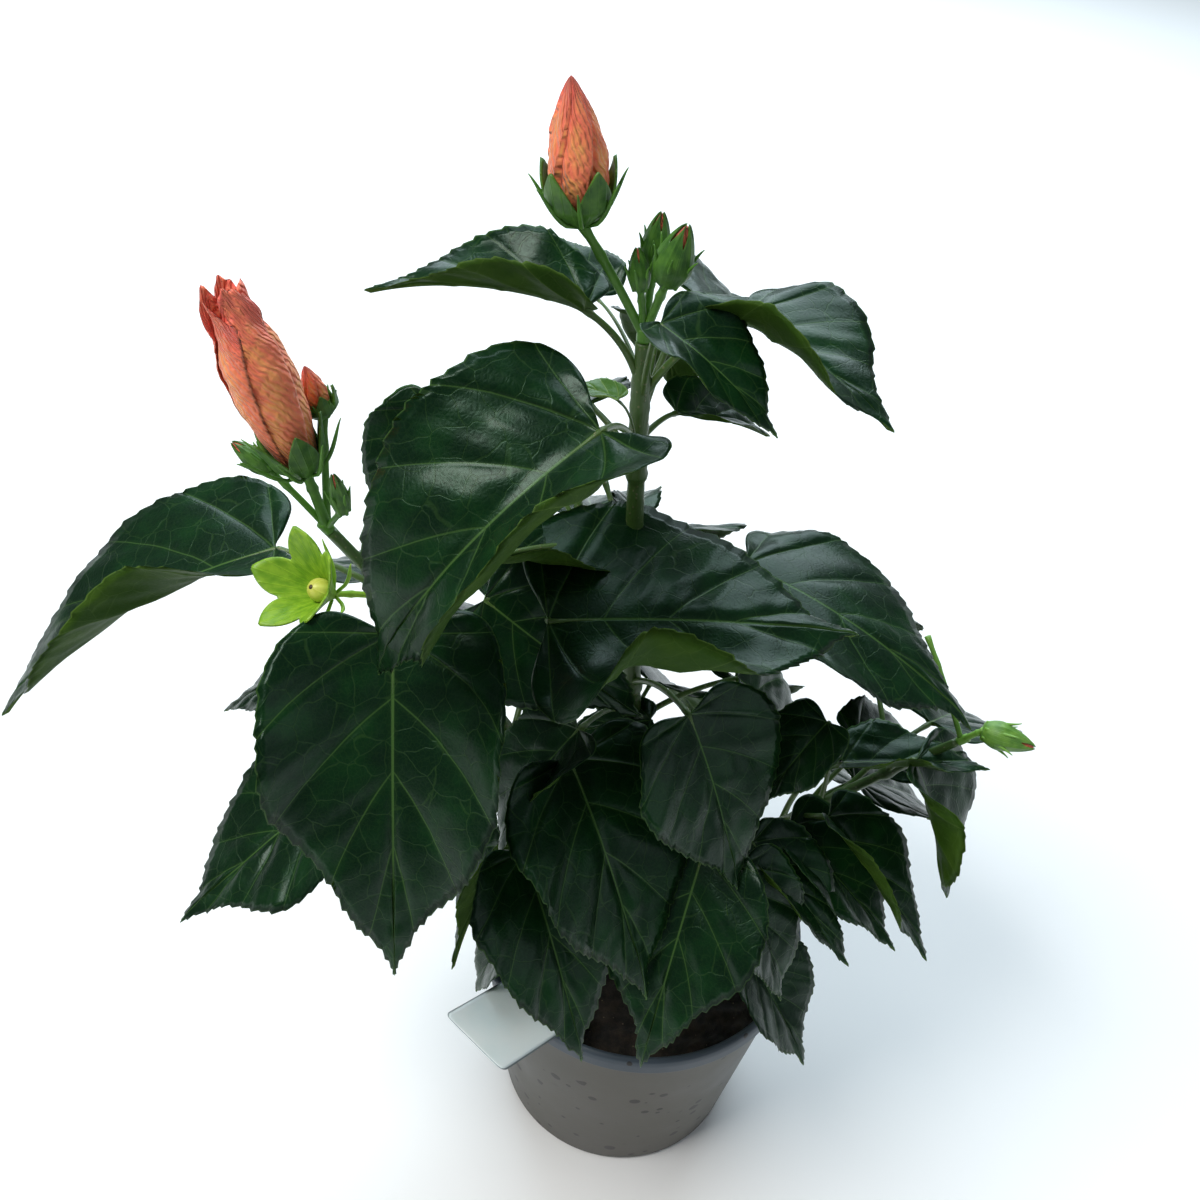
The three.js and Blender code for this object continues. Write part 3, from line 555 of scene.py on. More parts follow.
@dataclass(frozen=True)
class Rule:
    """Leaves grown between two distances on a limb, within a sector of headings."""

    seed: int
    count: int
    start: float
    end: float
    facing: float
    sector: float
    size: Pair
    spacing: float

    TURN = 137.5
    TRIES = 6
    TRY_TURN = 55
    RISE = (22, 22)
    REACH = (24, 20)
    SWERVE = 40
    DIP = (28, 30)
    WIDTH = (0.7, 0.12)
    BEND = 34
    HALF = (8, 20)
    LIMB_CLEAR = 12.0
    NEAR_NODE = 22.0
    OVER_POT = 118.0
    BESIDE_POT = 69.0

    def has_room(self, limb: Limb, leaf: Leaf, marks: Array, placed: list[Array]) -> bool:
        """Whether a blade keeps clear of the blades so far, of the limbs and of the pot.

        Args:
            limb: The limb that bears the leaf.
            leaf: The leaf to be placed.
            marks: Its waymarks.
            placed: The waymarks of the leaves so far.

        Returns:
            True where there is room.
        """
        root = limb.at(leaf.at)
        for other in LIMBS.values():
            points = other.points
            if other is limb:
                points = points[np.linalg.norm(points - root, axis=1) > self.NEAR_NODE]
            if nearest(marks, points) <= self.LIMB_CLEAR:
                return False
        beside = np.hypot(marks[:, 0], marks[:, 1]) > self.BESIDE_POT
        if not np.all(beside | (marks[:, 2] > self.OVER_POT)):
            return False
        return all(nearest(marks, others) > self.spacing for others in placed)

    def grow(self, limb: Limb, placed: list[Array]) -> list[Leaf]:
        """Grows leaves that follow one another round the limb; one with no room is tried elsewhere.

        Args:
            limb: The limb that bears them.
            placed: The waymarks of the leaves so far; the new ones are added.

        Returns:
            The leaves.
        """
        roll, leaves = dice(self.seed), []
        for i in range(self.count):
            at = self.start + (self.end - self.start) * (i + 0.5) / self.count
            r = [next(roll) for _ in range(6)]
            for k in range(self.TRIES):
                round_share = (i * self.TURN + k * self.TRY_TURN) % 360 / 360
                heading = self.facing + (round_share * 2 - 1) * self.sector
                stalk = (heading, self.RISE[0] + self.RISE[1] * r[0], self.REACH[0] + self.REACH[1] * r[1])
                hang = (heading + self.SWERVE * (r[2] - 0.5), self.DIP[0] + self.DIP[1] * r[3], 0)
                length = self.size[0] + (self.size[1] - self.size[0]) * r[4]
                width = self.WIDTH[0] + self.WIDTH[1] * r[5]
                leaf = Leaf(at, stalk, hang, length, width, self.BEND, self.HALF, self.HALF)
                marks = waymarks(limb, leaf)
                if self.has_room(limb, leaf, marks, placed):
                    placed.append(marks)
                    leaves.append(leaf)
                    break
        return leaves


def waymarks(limb: Limb, leaf: Leaf) -> Array:
    """Twelve points of a blade, by which leaves keep clear of one another.

    Args:
        limb: The limb that bears the leaf.
        leaf: The leaf.

    Returns:
        The points in millimetres.
    """
    x, v = np.meshgrid([0.05, 0.3, 0.55, 0.8], [-0.7, 0, 0.7], indexing="ij")
    x, v = x.ravel(), v.ravel()
    return leaf.surface(limb, x, v * (1.1 - x) * leaf.width / 2)[0]


def nearest(a: Array, b: Array) -> float:
    """The smallest distance between two sets of points."""
    return float(np.sqrt(((a[:, None] - b[None]) ** 2).sum(-1)).min())


@dataclass
class Mass:
    """A leafy stem: its limb, the listed leaves and the rule for more."""

    limb: str
    leaves: list[Leaf]
    rule: Rule | None = None

    def gather(self, placed: list[Array]) -> None:
        """Adds the leaves that the rule grows."""
        if self.rule is not None:
            self.leaves = self.leaves + self.rule.grow(LIMBS[self.limb], placed)


MASSES = {
    "foliage_top": Mass("main", [
        Leaf(240, (-15, 40, 50), (-70, 52, -35), 94, 0.74, 75, (0, 15), (25, 110)),
        Leaf(262, (-80, 55, 28), (-98, 6, 0), 58, 0.6, 34, (14, 70), (30, 80)),
        Leaf(255, (5, 60, 44), (66, 30, 15), 38, 0.76, 30, (25, 30), (5, 20)),
        Leaf(258, (88, 52, 35), (58, 16, 0), 48, 1.1, 30, (16, 55), (2, 10)),
        Leaf(245, (150, 0, 20), (120, 25, 0), 38, 0.7, 20, (20, 20), (20, 20)),
        Leaf(265, (-155, 10, 34), (-150, -15, 0), 24, 0.9, 20, (20, 20), (20, 20)),
        Leaf(235, (-20, 60, 40), (-120, 10, 0), 17, 0.55, 20, (20, 20), (20, 20), young=True),
    ], Rule(12, 4, 232, 262, -170, 60, (46, 58), 11)),
    "foliage_centre": Mass("main", [
        Leaf(175, (-32, 38, 57), (100, 5, 0), 88, 0.92, 15, (-45, 150), (10, 10)),
        Leaf(175, (122, 18, 42), (66, 20, 0), 88, 0.8, 35, (-25, 80), (-8, 0)),
        Leaf(190, (-68, 8, 46), (80, 33, 60), 60, 0.7, 20, (0, 0), (0, 0)),
        Leaf(205, (-60, 15, 48), (110, 25, 0), 52, 0.6, 50, (20, 90), (10, 20)),
        Leaf(190, (-115, -20, 60), (120, 40, 0), 40, 0.8, 20, (0, 20), (0, 20)),
        Leaf(150, (25, 33, 46), (48, 62, 0), 62, 0.86, 20, (0, 0), (5, 20)),
        Leaf(125, (-25, 34, 54), (40, 54, -5), 82, 0.78, 20, (5, 20), (5, 20)),
        Leaf(135, (-25, 36, 48), (-60, 64, 0), 56, 0.65, 40, (10, 20), (10, 80)),
        Leaf(130, (45, 45, 12), (-90, 25, 0), 34, 0.6, 20, (10, 10), (10, 10)),
    ], Rule(185, 5, 120, 215, -175, 75, (60, 82), 13)),
    "foliage_left": Mass("left", [
        Leaf(190, (5, 35, 42), (8, 62, 0), 102, 0.72, 20, (5, 40), (0, 90)),
        Leaf(150, (-57, -25, 50), (-57, 36, 0), 72, 0.78, 10, (0, 10), (0, 10)),
        Leaf(150, (-110, -20, 70), (-95, 40, 0), 45, 0.6, 20, (0, 0), (0, 0)),
        Leaf(195, (-100, 15, 40), (-74, 34, -5), 110, 0.66, 45, (0, 15), (20, 100)),
        Leaf(190, (175, 45, 60), (-80, 60, -60), 46, 0.8, 30, (0, 20), (0, 20)),
        Leaf(120, (-35, 50, 14), (-70, 55, 0), 46, 0.75, 20, (20, 20), (20, 20)),
        Leaf(110, (-100, -5, 34), (-70, 60, 0), 45, 0.6, 20, (20, 20), (20, 20)),
    ], Rule(63, 4, 110, 215, -165, 60, (56, 76), 13)),
    "foliage_right": Mass("right", [
        Leaf(60, (40, 60, 60), (58, 40, 0), 62, 0.58, 20, (40, 70), (10, 20)),
        Leaf(80, (40, 72, 56), (96, 2, 0), 50, 0.6, 20, (30, 80), (5, 20)),
        Leaf(100, (-30, 70, 68), (-50, 50, 0), 34, 0.8, 20, (10, 10), (10, 20)),
        Leaf(130, (35, 60, 18), (48, 60, 0), 55, 1.1, 25, (25, 60), (-10, 0)),
    ], Rule(69, 4, 60, 140, 165, 45, (55, 76), 12)),
    "foliage_front": Mass("front", [
        Leaf(105, (-5, 30, 24), (-16, 55, 0), 74, 0.7, 20, (5, 20), (5, 20)),
        Leaf(105, (30, 10, 22), (50, 60, 0), 54, 0.64, 20, (20, 20), (20, 20)),
        Leaf(50, (45, 10, 34), (55, 50, 0), 54, 0.7, 20, (20, 20), (20, 20)),
        Leaf(100, (70, 15, 18), (60, 38, 0), 54, 0.6, 20, (15, 90), (20, 20)),
        Leaf(90, (100, 15, 32), (62, 35, 0), 58, 0.62, 20, (20, 20), (20, 20)),
        Leaf(44, (10, 5, 44), (-75, 60, 0), 32, 0.7, 20, (20, 20), (20, 20)),
    ]),
    "foliage_low_left": Mass("lowLeft", [
        Leaf(70, (-40, 55, 60), (35, 54, 0), 74, 0.64, 20, (10, 10), (10, 20)),
        Leaf(60, (-75, 45, 45), (-30, 50, 60), 48, 0.6, 20, (30, 20), (30, 20)),
        Leaf(30, (-65, 15, 38), (-70, 70, 0), 45, 0.7, 20, (20, 20), (20, 20)),
    ], Rule(5, 2, 34, 66, -110, 30, (48, 60), 11)),
    "foliage_back_left": Mass("backLeft", [], Rule(195, 10, 60, 180, -165, 95, (60, 84), 12)),
    "foliage_back_right": Mass("backRight", [], Rule(71, 9, 60, 130, 180, 100, (50, 72), 11)),
}


@dataclass(frozen=True)
class BladeSkin:
    """The fine mesh of a blade: lines from the midrib to the edge that follow the veins.

    Vein k leaves the midrib at starts[k] and meets the edge at ends[k]. A line between two
    veins is placed between them in the same way, so a vein is a line of the grid. The edge has
    one tooth for every four lines. Lengths are millimetres, and shares of the blade's length
    where they stand for a ruffle or a bump of the edge.
    """

    starts: tuple[float, ...] = (0.0, 0.0, 0.0, 0.17, 0.37, 0.58, 1.0)
    ends: tuple[float, ...] = (0.0, 0.17, 0.34, 0.49, 0.61, 0.74, 1.0)
    across: int = 11
    thick: float = 0.5
    lag: float = 0.07
    tooth: float = 0.95
    ruffle: float = 0.018
    bumps: Pair = (0.012, 0.009)
    dimple: float = 0.3
    dimple_span: float = 17.0
    valley: float = 0.6
    midrib: float = 0.6
    side_rib: float = 0.25
    midrib_half: float = 0.62
    vein_half: Pair = (0.36, 0.2)

    LINES = 4
    FAR = 60
    STRIDE = 200.0

    def add_to(self, draft: Draft, limb: Limb, leaf: Leaf, seed: int) -> None:
        """Adds one blade: an upper and a lower sheet that meet in a sharp edge.

        Args:
            draft: The mesh to add to.
            limb: The limb that bears the leaf.
            leaf: The leaf.
            seed: Chooses its small differences from other leaves.
        """
        size, last = leaf.length, len(self.starts) - 1
        u = np.linspace(0, last, self.LINES * self.teeth(size) * last + 1)[:, None]
        mid = np.interp(u, np.arange(last + 1), self.starts)
        s = np.interp(u, np.arange(last + 1), self.ends)
        half = np.linspace(0, 1, self.across + 1) ** 0.9
        v = np.concatenate([-half[:0:-1], half])[None, :]
        r, side = np.abs(v), np.where(v < 0, 1, 2)
        edge_x, edge_y = PLAN.edge(s, leaf.width)
        out = unit(np.concatenate([-np.gradient(edge_y, axis=0), np.gradient(edge_x, axis=0)], 1))
        reach = np.where(v < 0, self.fringe(u, s, size, seed), self.fringe(u, s, size, seed + 1)) / size
        push = reach * r**6
        x = mid + (edge_x - mid) * (r - self.lag * 4 * r * (1 - r)) + out[:, :1] * push
        y = np.sign(v) * (edge_y * r + out[:, 1:] * push)
        point, normal = leaf.surface(limb, x, y)
        wave = np.sin(u * 2.3 + side * 2.1 + seed) + 0.5 * np.sin(u * 4.1 + side + 1.7 * seed)
        ruffle = self.ruffle * size * r**2.5 * wave * smooth(0, 1.5, u)
        ruffle = ruffle * (1 - smooth(last - 3.5, last - 0.5, u))
        dimples = self.dimple * ripples(x * size / self.dimple_span, y * size / self.dimple_span, seed)
        lift = self.relief(u, r, side, size, seed) + ruffle + dimples * smooth(0, 0.3, r)
        centre = point + normal * lift[..., None]
        body = self.thick * np.sqrt(np.maximum(1 - r**8, 0)) * np.ones_like(x) / 2
        maps = self.maps(u, r, x * size, y * size, edge_x, edge_y, mid, size, seed)
        flat_u, flat_v = (x + 0.14) / 1.2, 0.5 + y / max(leaf.width * 1.15, 0.55)
        first = 2 if leaf.young else 0
        maps["OFBake"] = draft.cell(flat_u, flat_v)
        top = draft.add(centre + normal * body[..., None], maps, first, outward=False,
                        weld_with=draft.pinched(*x.shape))
        maps["OFBake"] = draft.cell(flat_u, flat_v)
        under = body + self.ribs(u, r, size) * (r < 1)
        draft.add(centre - normal * under[..., None], maps, first + 1, weld_with=draft.bordered(top))

    def maps(self, u: Array, r: Array, x: Array, y: Array, edge_x: Array, edge_y: Array, mid: Array,
             size: float, seed: int) -> dict[str, Array]:
        """Map values of a blade.

        Pattern holds the distances from the nearest side vein and from the midrib, each divided
        by that vein's half width. Edge holds the distance from the edge in millimetres and the
        vein number. Plan holds the place on the flat blade in millimetres, shifted from leaf
        to leaf so that no two take the same stretch of a pattern.

        Args:
            u: Vein number along the blade, one column.
            r: Share of the way from the midrib to the edge.
            x: Place along the blade in millimetres.
            y: Place across it.
            edge_x: The edge's place along the blade, as a share of its length.
            edge_y: The edge's place across it.
            mid: Where each line leaves the midrib.
            size: The blade's length.
            seed: Chooses the shift.

        Returns:
            The map names and their values.
        """
        plan = np.stack([x, y], -1)
        along_u = np.gradient(plan, u[:, 0], axis=0)
        along_r = np.gradient(plan, axis=1)
        area = np.abs(along_u[..., 0] * along_r[..., 1] - along_u[..., 1] * along_r[..., 0])
        spacing = area / np.maximum(np.linalg.norm(along_r, axis=-1), 1e-6)
        scale = min(max(size / 90, 0.55), 1.0)
        side_half = (self.vein_half[0] - self.vein_half[1] * r) * scale
        mid_half = np.maximum(self.midrib_half * (1 - 0.62 * x / size), 0.15) * scale
        from_vein = np.minimum(self.off_vein(u) * spacing / side_half, self.FAR)
        pattern = np.stack([from_vein, np.abs(y) / mid_half], -1)
        span = np.hypot(edge_x - mid, edge_y) * size
        edge = np.stack([(1 - r) * span, u * np.ones_like(x)], -1)
        shifted = plan + np.array([self.STRIDE * (seed % 17), 0.0])
        return {"Pattern": pattern, "Edge": edge, "Plan": shifted}

    def off_vein(self, u: Array) -> Array:
        """The distance from the nearest side vein, counted in veins."""
        return np.abs(u - np.clip(np.round(u), 1, len(self.starts) - 2))

    def teeth(self, size: float) -> int:
        """Teeth between two veins of a blade of a length."""
        return 3 if size < 50 else 4 if size < 80 else 5

    def fringe(self, u: Array, s: Array, size: float, seed: int) -> Array:
        """The edge's extra reach in millimetres: teeth that lean to the tip, over slow bumps.

        Args:
            u: Vein number along the blade.
            s: Share of the way along the edge.
            size: The blade's length.
            seed: Chooses the heights of the teeth.

        Returns:
            The reach at each line.
        """
        number, phase = np.divmod(u * self.teeth(size), 1.0)
        saw = np.minimum(phase / 0.75, (1 - phase) / 0.25)
        height = self.tooth * (0.8 + 0.3 * np.sin(number * 2.7 + seed)) * min(1.0, size / 75)
        spread = smooth(0.1, 0.3, s) * (1 - 0.75 * smooth(0.8, 1.0, s))
        slow, quick = self.bumps
        bumps = slow * np.sin(s * 15 + seed * 1.7) + quick * np.sin(s * 27 + seed * 2.9)
        return height * spread * saw + bumps * size * smooth(0.02, 0.2, s) * (1 - smooth(0.7, 0.95, s))

    def relief(self, u: Array, r: Array, side: Array, size: float, seed: int) -> Array:
        """Height of the tissue, which bulges between sharp valleys at the veins.

        Each panel between two veins is a root of a sine, crossed by rungs and tilted a little.

        Args:
            u: Vein number along the blade.
            r: Share of the way from the midrib to the edge.
            side: 1 on the left half and 2 on the right.
            size: The blade's length.
            seed: Chooses the rungs and the tilts.

        Returns:
            The height in millimetres.
        """
        share, number = u % 1.0, np.floor(u)
        panel = np.abs(np.sin(math.pi * share)) ** 0.7 * smooth(0, 0.3, r) * (1 - 0.5 * smooth(0.7, 1, r))
        place = r * 2.7 + 0.31 * number + 0.13 * seed + 0.1 * np.sin(5 * share + number)
        rungs = np.abs(np.cos(math.pi * place)) ** 0.6
        tilt = np.sin(number * 2.4 + side * 1.9 + seed * 0.7) * (share - 0.5)
        quilt = panel * (0.9 + 0.2 * rungs + 0.9 * tilt)
        valley = -self.valley * bell(r, 0, 0.07) * smooth(0, 0.7, u)
        return (quilt + valley) * min(1.0, size / 90)

    def ribs(self, u: Array, r: Array, size: float) -> Array:
        """How far the veins stand out below: a strong midrib and slight side ribs.

        Args:
            u: Vein number along the blade.
            r: Share of the way from the midrib to the edge.
            size: The blade's length.

        Returns:
            The height in millimetres.
        """
        midrib = self.midrib * (1 - 0.09 * u) * bell(r, 0, 0.06)
        lateral = self.side_rib * (1 - 0.7 * r) * bell(self.off_vein(u), 0, 0.09)
        return (midrib + lateral) * min(1.0, size / 70)


# ---- shader nodes -------------------------------------------------------------------------------
class Nodes:
    """A node tree with short calls to add and link its nodes.

    Where a call takes a value, that is a number, a colour, a vector or another node's output.
    """

    MIX_INPUTS = (0, 6, 7)
    MIX_OUTPUT = 2

    def __init__(self, tree: bpy.types.NodeTree) -> None:
        """Keeps the tree."""
        self.tree = tree

    def feed(self, target: Socket, value: object) -> None:
        """Gives an input its value, with full alpha where a colour comes without one.

        Args:
            target: The input.
            value: Its value.
        """
        if isinstance(value, bpy.types.NodeSocket):
            self.tree.links.new(value, target)
        elif isinstance(value, tuple) and len(value) < len(target.default_value):
            target.default_value = (*value, 1.0)
        else:
            target.default_value = value

    def add(self, kind: str, **settings: object) -> bpy.types.Node:
        """Adds a node.

        Args:
            kind: The kind of node.
            **settings: Its properties and its inputs by name, with underscores for spaces.

        Returns:
            The node.
        """
        node = self.tree.nodes.new(kind)
        for name, value in settings.items():
            if hasattr(node, name):
                setattr(node, name, value)
            else:
                self.feed(node.inputs[name.replace("_", " ")], value)
        return node

    def math(self, operation: str, *values: object, clamp: bool = False) -> Socket:
        """A math node's output.

        Args:
            operation: What the node does.
            *values: The node's inputs in order.
            clamp: Whether the result is kept between 0 and 1.

        Returns:
            The node's output.
        """
        node = self.add("ShaderNodeMath", operation=operation, use_clamp=clamp)
        for target, value in zip(node.inputs, values):
            self.feed(target, value)
        return node.outputs[0]

    def times(self, first: object, second: object) -> Socket:
        """The product of two values."""
        return self.math("MULTIPLY", first, second)

    def plus(self, first: object, second: object) -> Socket:
        """The sum of two values."""
        return self.math("ADD", first, second)

    def minus(self, first: object, second: object) -> Socket:
        """The first value less the second."""
        return self.math("SUBTRACT", first, second)

    def from_middle(self, share: Socket) -> Socket:
        """The distance of a share from one half, scaled to reach 1 at both ends."""
        return self.math("ABSOLUTE", self.minus(self.times(share, 2.0), 1.0))

    def weigh(self, outputs: bpy.types.bpy_prop_collection, weights: dict[str, float]) -> Socket:
        """The sum of a node's named outputs, each times its weight."""
        return reduce(self.plus, [self.times(outputs[name], weight) for name, weight in weights.items()])

    def mix(self, factor: object, first: object, second: object) -> Socket:
        """Mixes two colours by a factor.

        Args:
            factor: 0 for the first and 1 for the second.
            first: The first colour.
            second: The second.

        Returns:
            The mixed colour.
        """
        node = self.add("ShaderNodeMix", data_type="RGBA")
        for number, value in zip(self.MIX_INPUTS, (factor, first, second)):
            self.feed(node.inputs[number], value)
        return node.outputs[self.MIX_OUTPUT]

    def wash(self, colour: object, mask: Socket, strength: float, over: Triple) -> Socket:
        """A colour with another laid over it where a mask is, at a strength."""
        return self.mix(self.times(mask, strength), colour, over)

    def step(self, low: float, high: float, value: Socket, first: float = 0.0, last: float = 1.0) -> Socket:
        """A smooth step that takes a value between low and high from first to last.

        Args:
            low: Where the step begins.
            high: Where it ends.
            value: What is stepped.
            first: Result at the beginning.
            last: Result at the end.

        Returns:
            The stepped value.
        """
        node = self.add("ShaderNodeMapRange", interpolation_type="SMOOTHSTEP", Value=value,
                        From_Min=low, From_Max=high, To_Min=first, To_Max=last)
        return node.outputs["Result"]

    def chart(self, name: str) -> Socket:
        """A map of the mesh as a vector."""
        return self.add("ShaderNodeUVMap", uv_map=name).outputs[0]

    def place(self) -> Socket:
        """The place on the object in metres."""
        return self.add("ShaderNodeTexCoord").outputs["Object"]

    def parts(self, vector: Socket) -> tuple[Socket, ...]:
        """The three coordinates of a vector."""
        return tuple(self.add("ShaderNodeSeparateXYZ", Vector=vector).outputs)

    def noise(self, vector: Socket, scale: float, detail: float, roughness: float = 0.5) -> Socket:
        """Soft noise between 0 and 1."""
        node = self.add("ShaderNodeTexNoise", Vector=vector, Scale=scale, Detail=detail, Roughness=roughness)
        return node.outputs["Fac"]

    def borders(self, vector: Socket, scale: Socket) -> Socket:
        """The distance from the nearest border of a pattern of cells."""
        node = self.add("ShaderNodeTexVoronoi", feature="DISTANCE_TO_EDGE", Vector=vector, Scale=scale)
        return node.outputs[0]


class Paint(Nodes):
    """A new material's nodes, with calls that feed its shader."""

    def __init__(self, name: str) -> None:
        """Makes the material.

        Args:
            name: The material's name.
        """
        self.material = bpy.data.materials.new(name)
        self.material.use_nodes = True
        super().__init__(self.material.node_tree)
        self.shader = self.tree.nodes["Principled BSDF"]

    def set(self, **values: object) -> None:
        """Feeds the shader's inputs by name, with underscores for spaces."""
        for name, value in values.items():
            self.feed(self.shader.inputs[name.replace("_", " ")], value)

    def bump(self, height: Socket, strength: float, distance: float) -> None:
        """Raises the skin by a height, where 1 stands for a distance in metres."""
        node = self.add("ShaderNodeBump", Strength=strength, Distance=distance, Height=height)
        self.set(Normal=node.outputs[0])


def lighter(colour: Triple, gain: float, lift: float = 0.0) -> Triple:
    """A colour times gain plus lift, each part at most 1."""
    return tuple(min(1.0, gain * part + lift) for part in colour)


def vein_group() -> bpy.types.NodeTree:
    """The shared group that turns a blade's maps into its veins and skin.

    The Pattern map holds distances from the veins in half widths. Cushions are the cells of a
    bent cell pattern on the Plan map, which is in millimetres; the net is their borders, and
    the branches are the borders of a second pattern of wider cells.

    Returns:
        The group's node tree.
    """
    n = Nodes(bpy.data.node_groups.new("Vein net", "ShaderNodeTree"))
    for label, value in (("Cell scale", 0.75), ("Branch scale", 0.115), ("Crinkle scale", 0.9)):
        socket = n.tree.interface.new_socket(label, in_out="INPUT", socket_type="NodeSocketFloat")
        socket.default_value = value
    for label in ("Veins", "Halo", "Branches", "Net", "Cushion", "Crinkle", "Rim"):
        n.tree.interface.new_socket(label, in_out="OUTPUT", socket_type="NodeSocketFloat")
    scales = n.add("NodeGroupInput").outputs
    lateral, midrib = n.parts(n.chart("Pattern"))[:2]
    plan = n.chart("Plan")
    warp = n.add("ShaderNodeTexNoise", Vector=plan, Scale=0.2, Detail=1.0)
    push = n.add("ShaderNodeVectorMath", operation="MULTIPLY_ADD")
    for target, value in zip(push.inputs, (warp.outputs["Color"], (3.0, 3.0, 0.0), plan)):
        n.feed(target, value)
    cells = n.borders(push.outputs[0], scales["Cell scale"])
    branches = n.borders(push.outputs[0], scales["Branch scale"])
    n.add(
        "NodeGroupOutput",
        Veins=n.math("MAXIMUM", n.step(1.1, 0.3, lateral, 0.0, 0.6), n.step(1.1, 0.4, midrib)),
        Halo=n.math("MAXIMUM", n.step(6.0, 0.5, lateral), n.step(4.0, 0.5, midrib)),
        Branches=n.step(0.022, 0.006, branches),
        Net=n.step(0.09, 0.0, cells),
        Cushion=n.step(0.0, 0.4, cells),
        Crinkle=n.noise(plan, scales["Crinkle scale"], 4.0, 0.6),
        Rim=n.step(0.55, 0.2, n.parts(n.chart("Edge"))[0]),
    )
    return n.tree


# ---- finishes -----------------------------------------------------------------------------------
class Face(Enum):
    """Which side of a blade a finish is for."""

    UPPER = 1
    LOWER = -1


@dataclass(frozen=True)
class LeafFinish:
    """Leaf skin: glossy dark green above with sunken veins, duller and paler below."""

    name: str
    face: Face
    base: Triple
    patch: Triple
    vein: Triple
    rough: float
    coat: float
    tint: Triple = (0.55, 0.9, 0.72)

    SHINE = {Face.UPPER: 0.2, Face.LOWER: 0.12}
    PALENESS = {"Halo": 0.05, "Net": 0.05, "Branches": 0.13, "Veins": 0.7}
    RELIEF = {
        Face.UPPER: {"Veins": -0.5, "Branches": -0.4, "Cushion": 0.3, "Crinkle": 0.35},
        Face.LOWER: {"Veins": 0.6, "Branches": 0.3, "Cushion": -0.2, "Crinkle": 0.35},
    }

    def make(self, veins: bpy.types.NodeTree) -> Material:
        """Builds the material from the shared vein group: sunken veins above, raised below.

        Args:
            veins: The shared group.

        Returns:
            The material.
        """
        n = Paint(self.name)
        net = n.add("ShaderNodeGroup", node_tree=veins).outputs
        clouds = n.noise(n.chart("Plan"), 0.07, 3.0, 0.55)
        colour = n.mix(n.step(0.4, 0.68, clouds), self.base, self.patch)
        for part, strength in self.PALENESS.items():
            colour = n.wash(colour, net[part], strength, self.vein)
        colour = n.wash(colour, net["Rim"], 0.4, lighter(self.vein, 1.3))
        grain = n.times(n.minus(net["Crinkle"], 0.5), 0.3)
        n.set(Base_Color=colour, Roughness=n.plus(self.rough, grain), Coat_Weight=self.coat,
              Coat_Roughness=0.2, Specular_Tint=self.tint, Specular_IOR_Level=self.SHINE[self.face])
        n.bump(n.weigh(net, self.RELIEF[self.face]), 0.5, 0.0002)
        return n.material


@dataclass(frozen=True)
class StemFinish:
    """Shoot skin: green turning brown with age, with pale corky dots and fine lengthwise lines."""

    name: str
    young: Triple
    old: Triple
    cork: Triple = (0.30, 0.24, 0.15)
    rough: float = 0.42

    def make(self) -> Material:
        """Builds the material; the Pattern map's second coordinate is the age, 0 young to 1.

        Returns:
            The material.
        """
        n = Paint(self.name)
        plan, age = n.chart("Plan"), n.parts(n.chart("Pattern"))[1]
        streak = n.add("ShaderNodeMapping", Vector=plan, Scale=(1.0, 0.12, 1.0))
        lines = n.noise(streak.outputs[0], 1.6, 4.0)
        dots = n.add("ShaderNodeTexVoronoi", Vector=plan, Scale=0.5)
        dot = n.step(0.26, 0.12, dots.outputs["Distance"])
        ageing = n.math("ADD", age, n.times(n.minus(lines, 0.5), 0.7), clamp=True)
        colour = n.wash(n.mix(ageing, self.young, self.old), dot, 0.35, self.cork)
        n.set(Base_Color=colour, Roughness=self.rough)
        n.bump(n.plus(n.times(lines, 0.7), n.times(dot, 0.5)), 0.5, 0.0004)
        return n.material


@dataclass(frozen=True)
class PetalFinish:
    """Crumpled silk: coral over orange, rosy at the tip, with painted shade of a deeper red in the valleys
    of its slanting folds.
    """

    name: str
    heart: Triple
    body: Triple
    rose_and_fold_shade: Triple
    slant: float = -0.6
    rough: float = 0.52
    sheen: float = 0.15

    def make(self) -> Material:
        """Builds the material; the Pattern map holds the place across and along a petal.

        Returns:
            The material.
        """
        n = Paint(self.name)
        across, along = n.parts(n.chart("Pattern"))[:2]
        middle = n.minus(1.0, n.from_middle(across))
        plan = n.chart("Plan")
        warm = n.times(n.step(0.15, 0.75, middle), n.step(0.35, 0.62, n.noise(plan, 0.22, 4.0)))
        leaning = n.add("ShaderNodeMapping", Vector=plan, Rotation=(0.0, 0.0, self.slant))
        waves = n.add("ShaderNodeTexWave", Vector=leaning.outputs[0], Scale=0.2, Distortion=5.0,
                      Detail=2.0, Detail_Scale=1.3)
        folds = waves.outputs["Fac"]
        colour = n.mix(warm, self.body, self.heart)
        colour = n.wash(colour, n.step(0.55, 1.0, along), 0.55, self.rose_and_fold_shade)
        # Painted shade: a deeper red laid where the folds are low darkens the creases, over the petal's rosy
        # tone.
        colour = n.wash(colour, n.step(0.45, 0.0, folds), 0.28, self.rose_and_fold_shade)
        colour = n.wash(colour, n.step(0.12, 0.0, middle), 0.5, lighter(self.body, 1.25, 0.05))
        n.set(Base_Color=colour, Roughness=self.rough, Sheen_Weight=self.sheen)
        n.bump(folds, 0.9, 0.0005)
        return n.material


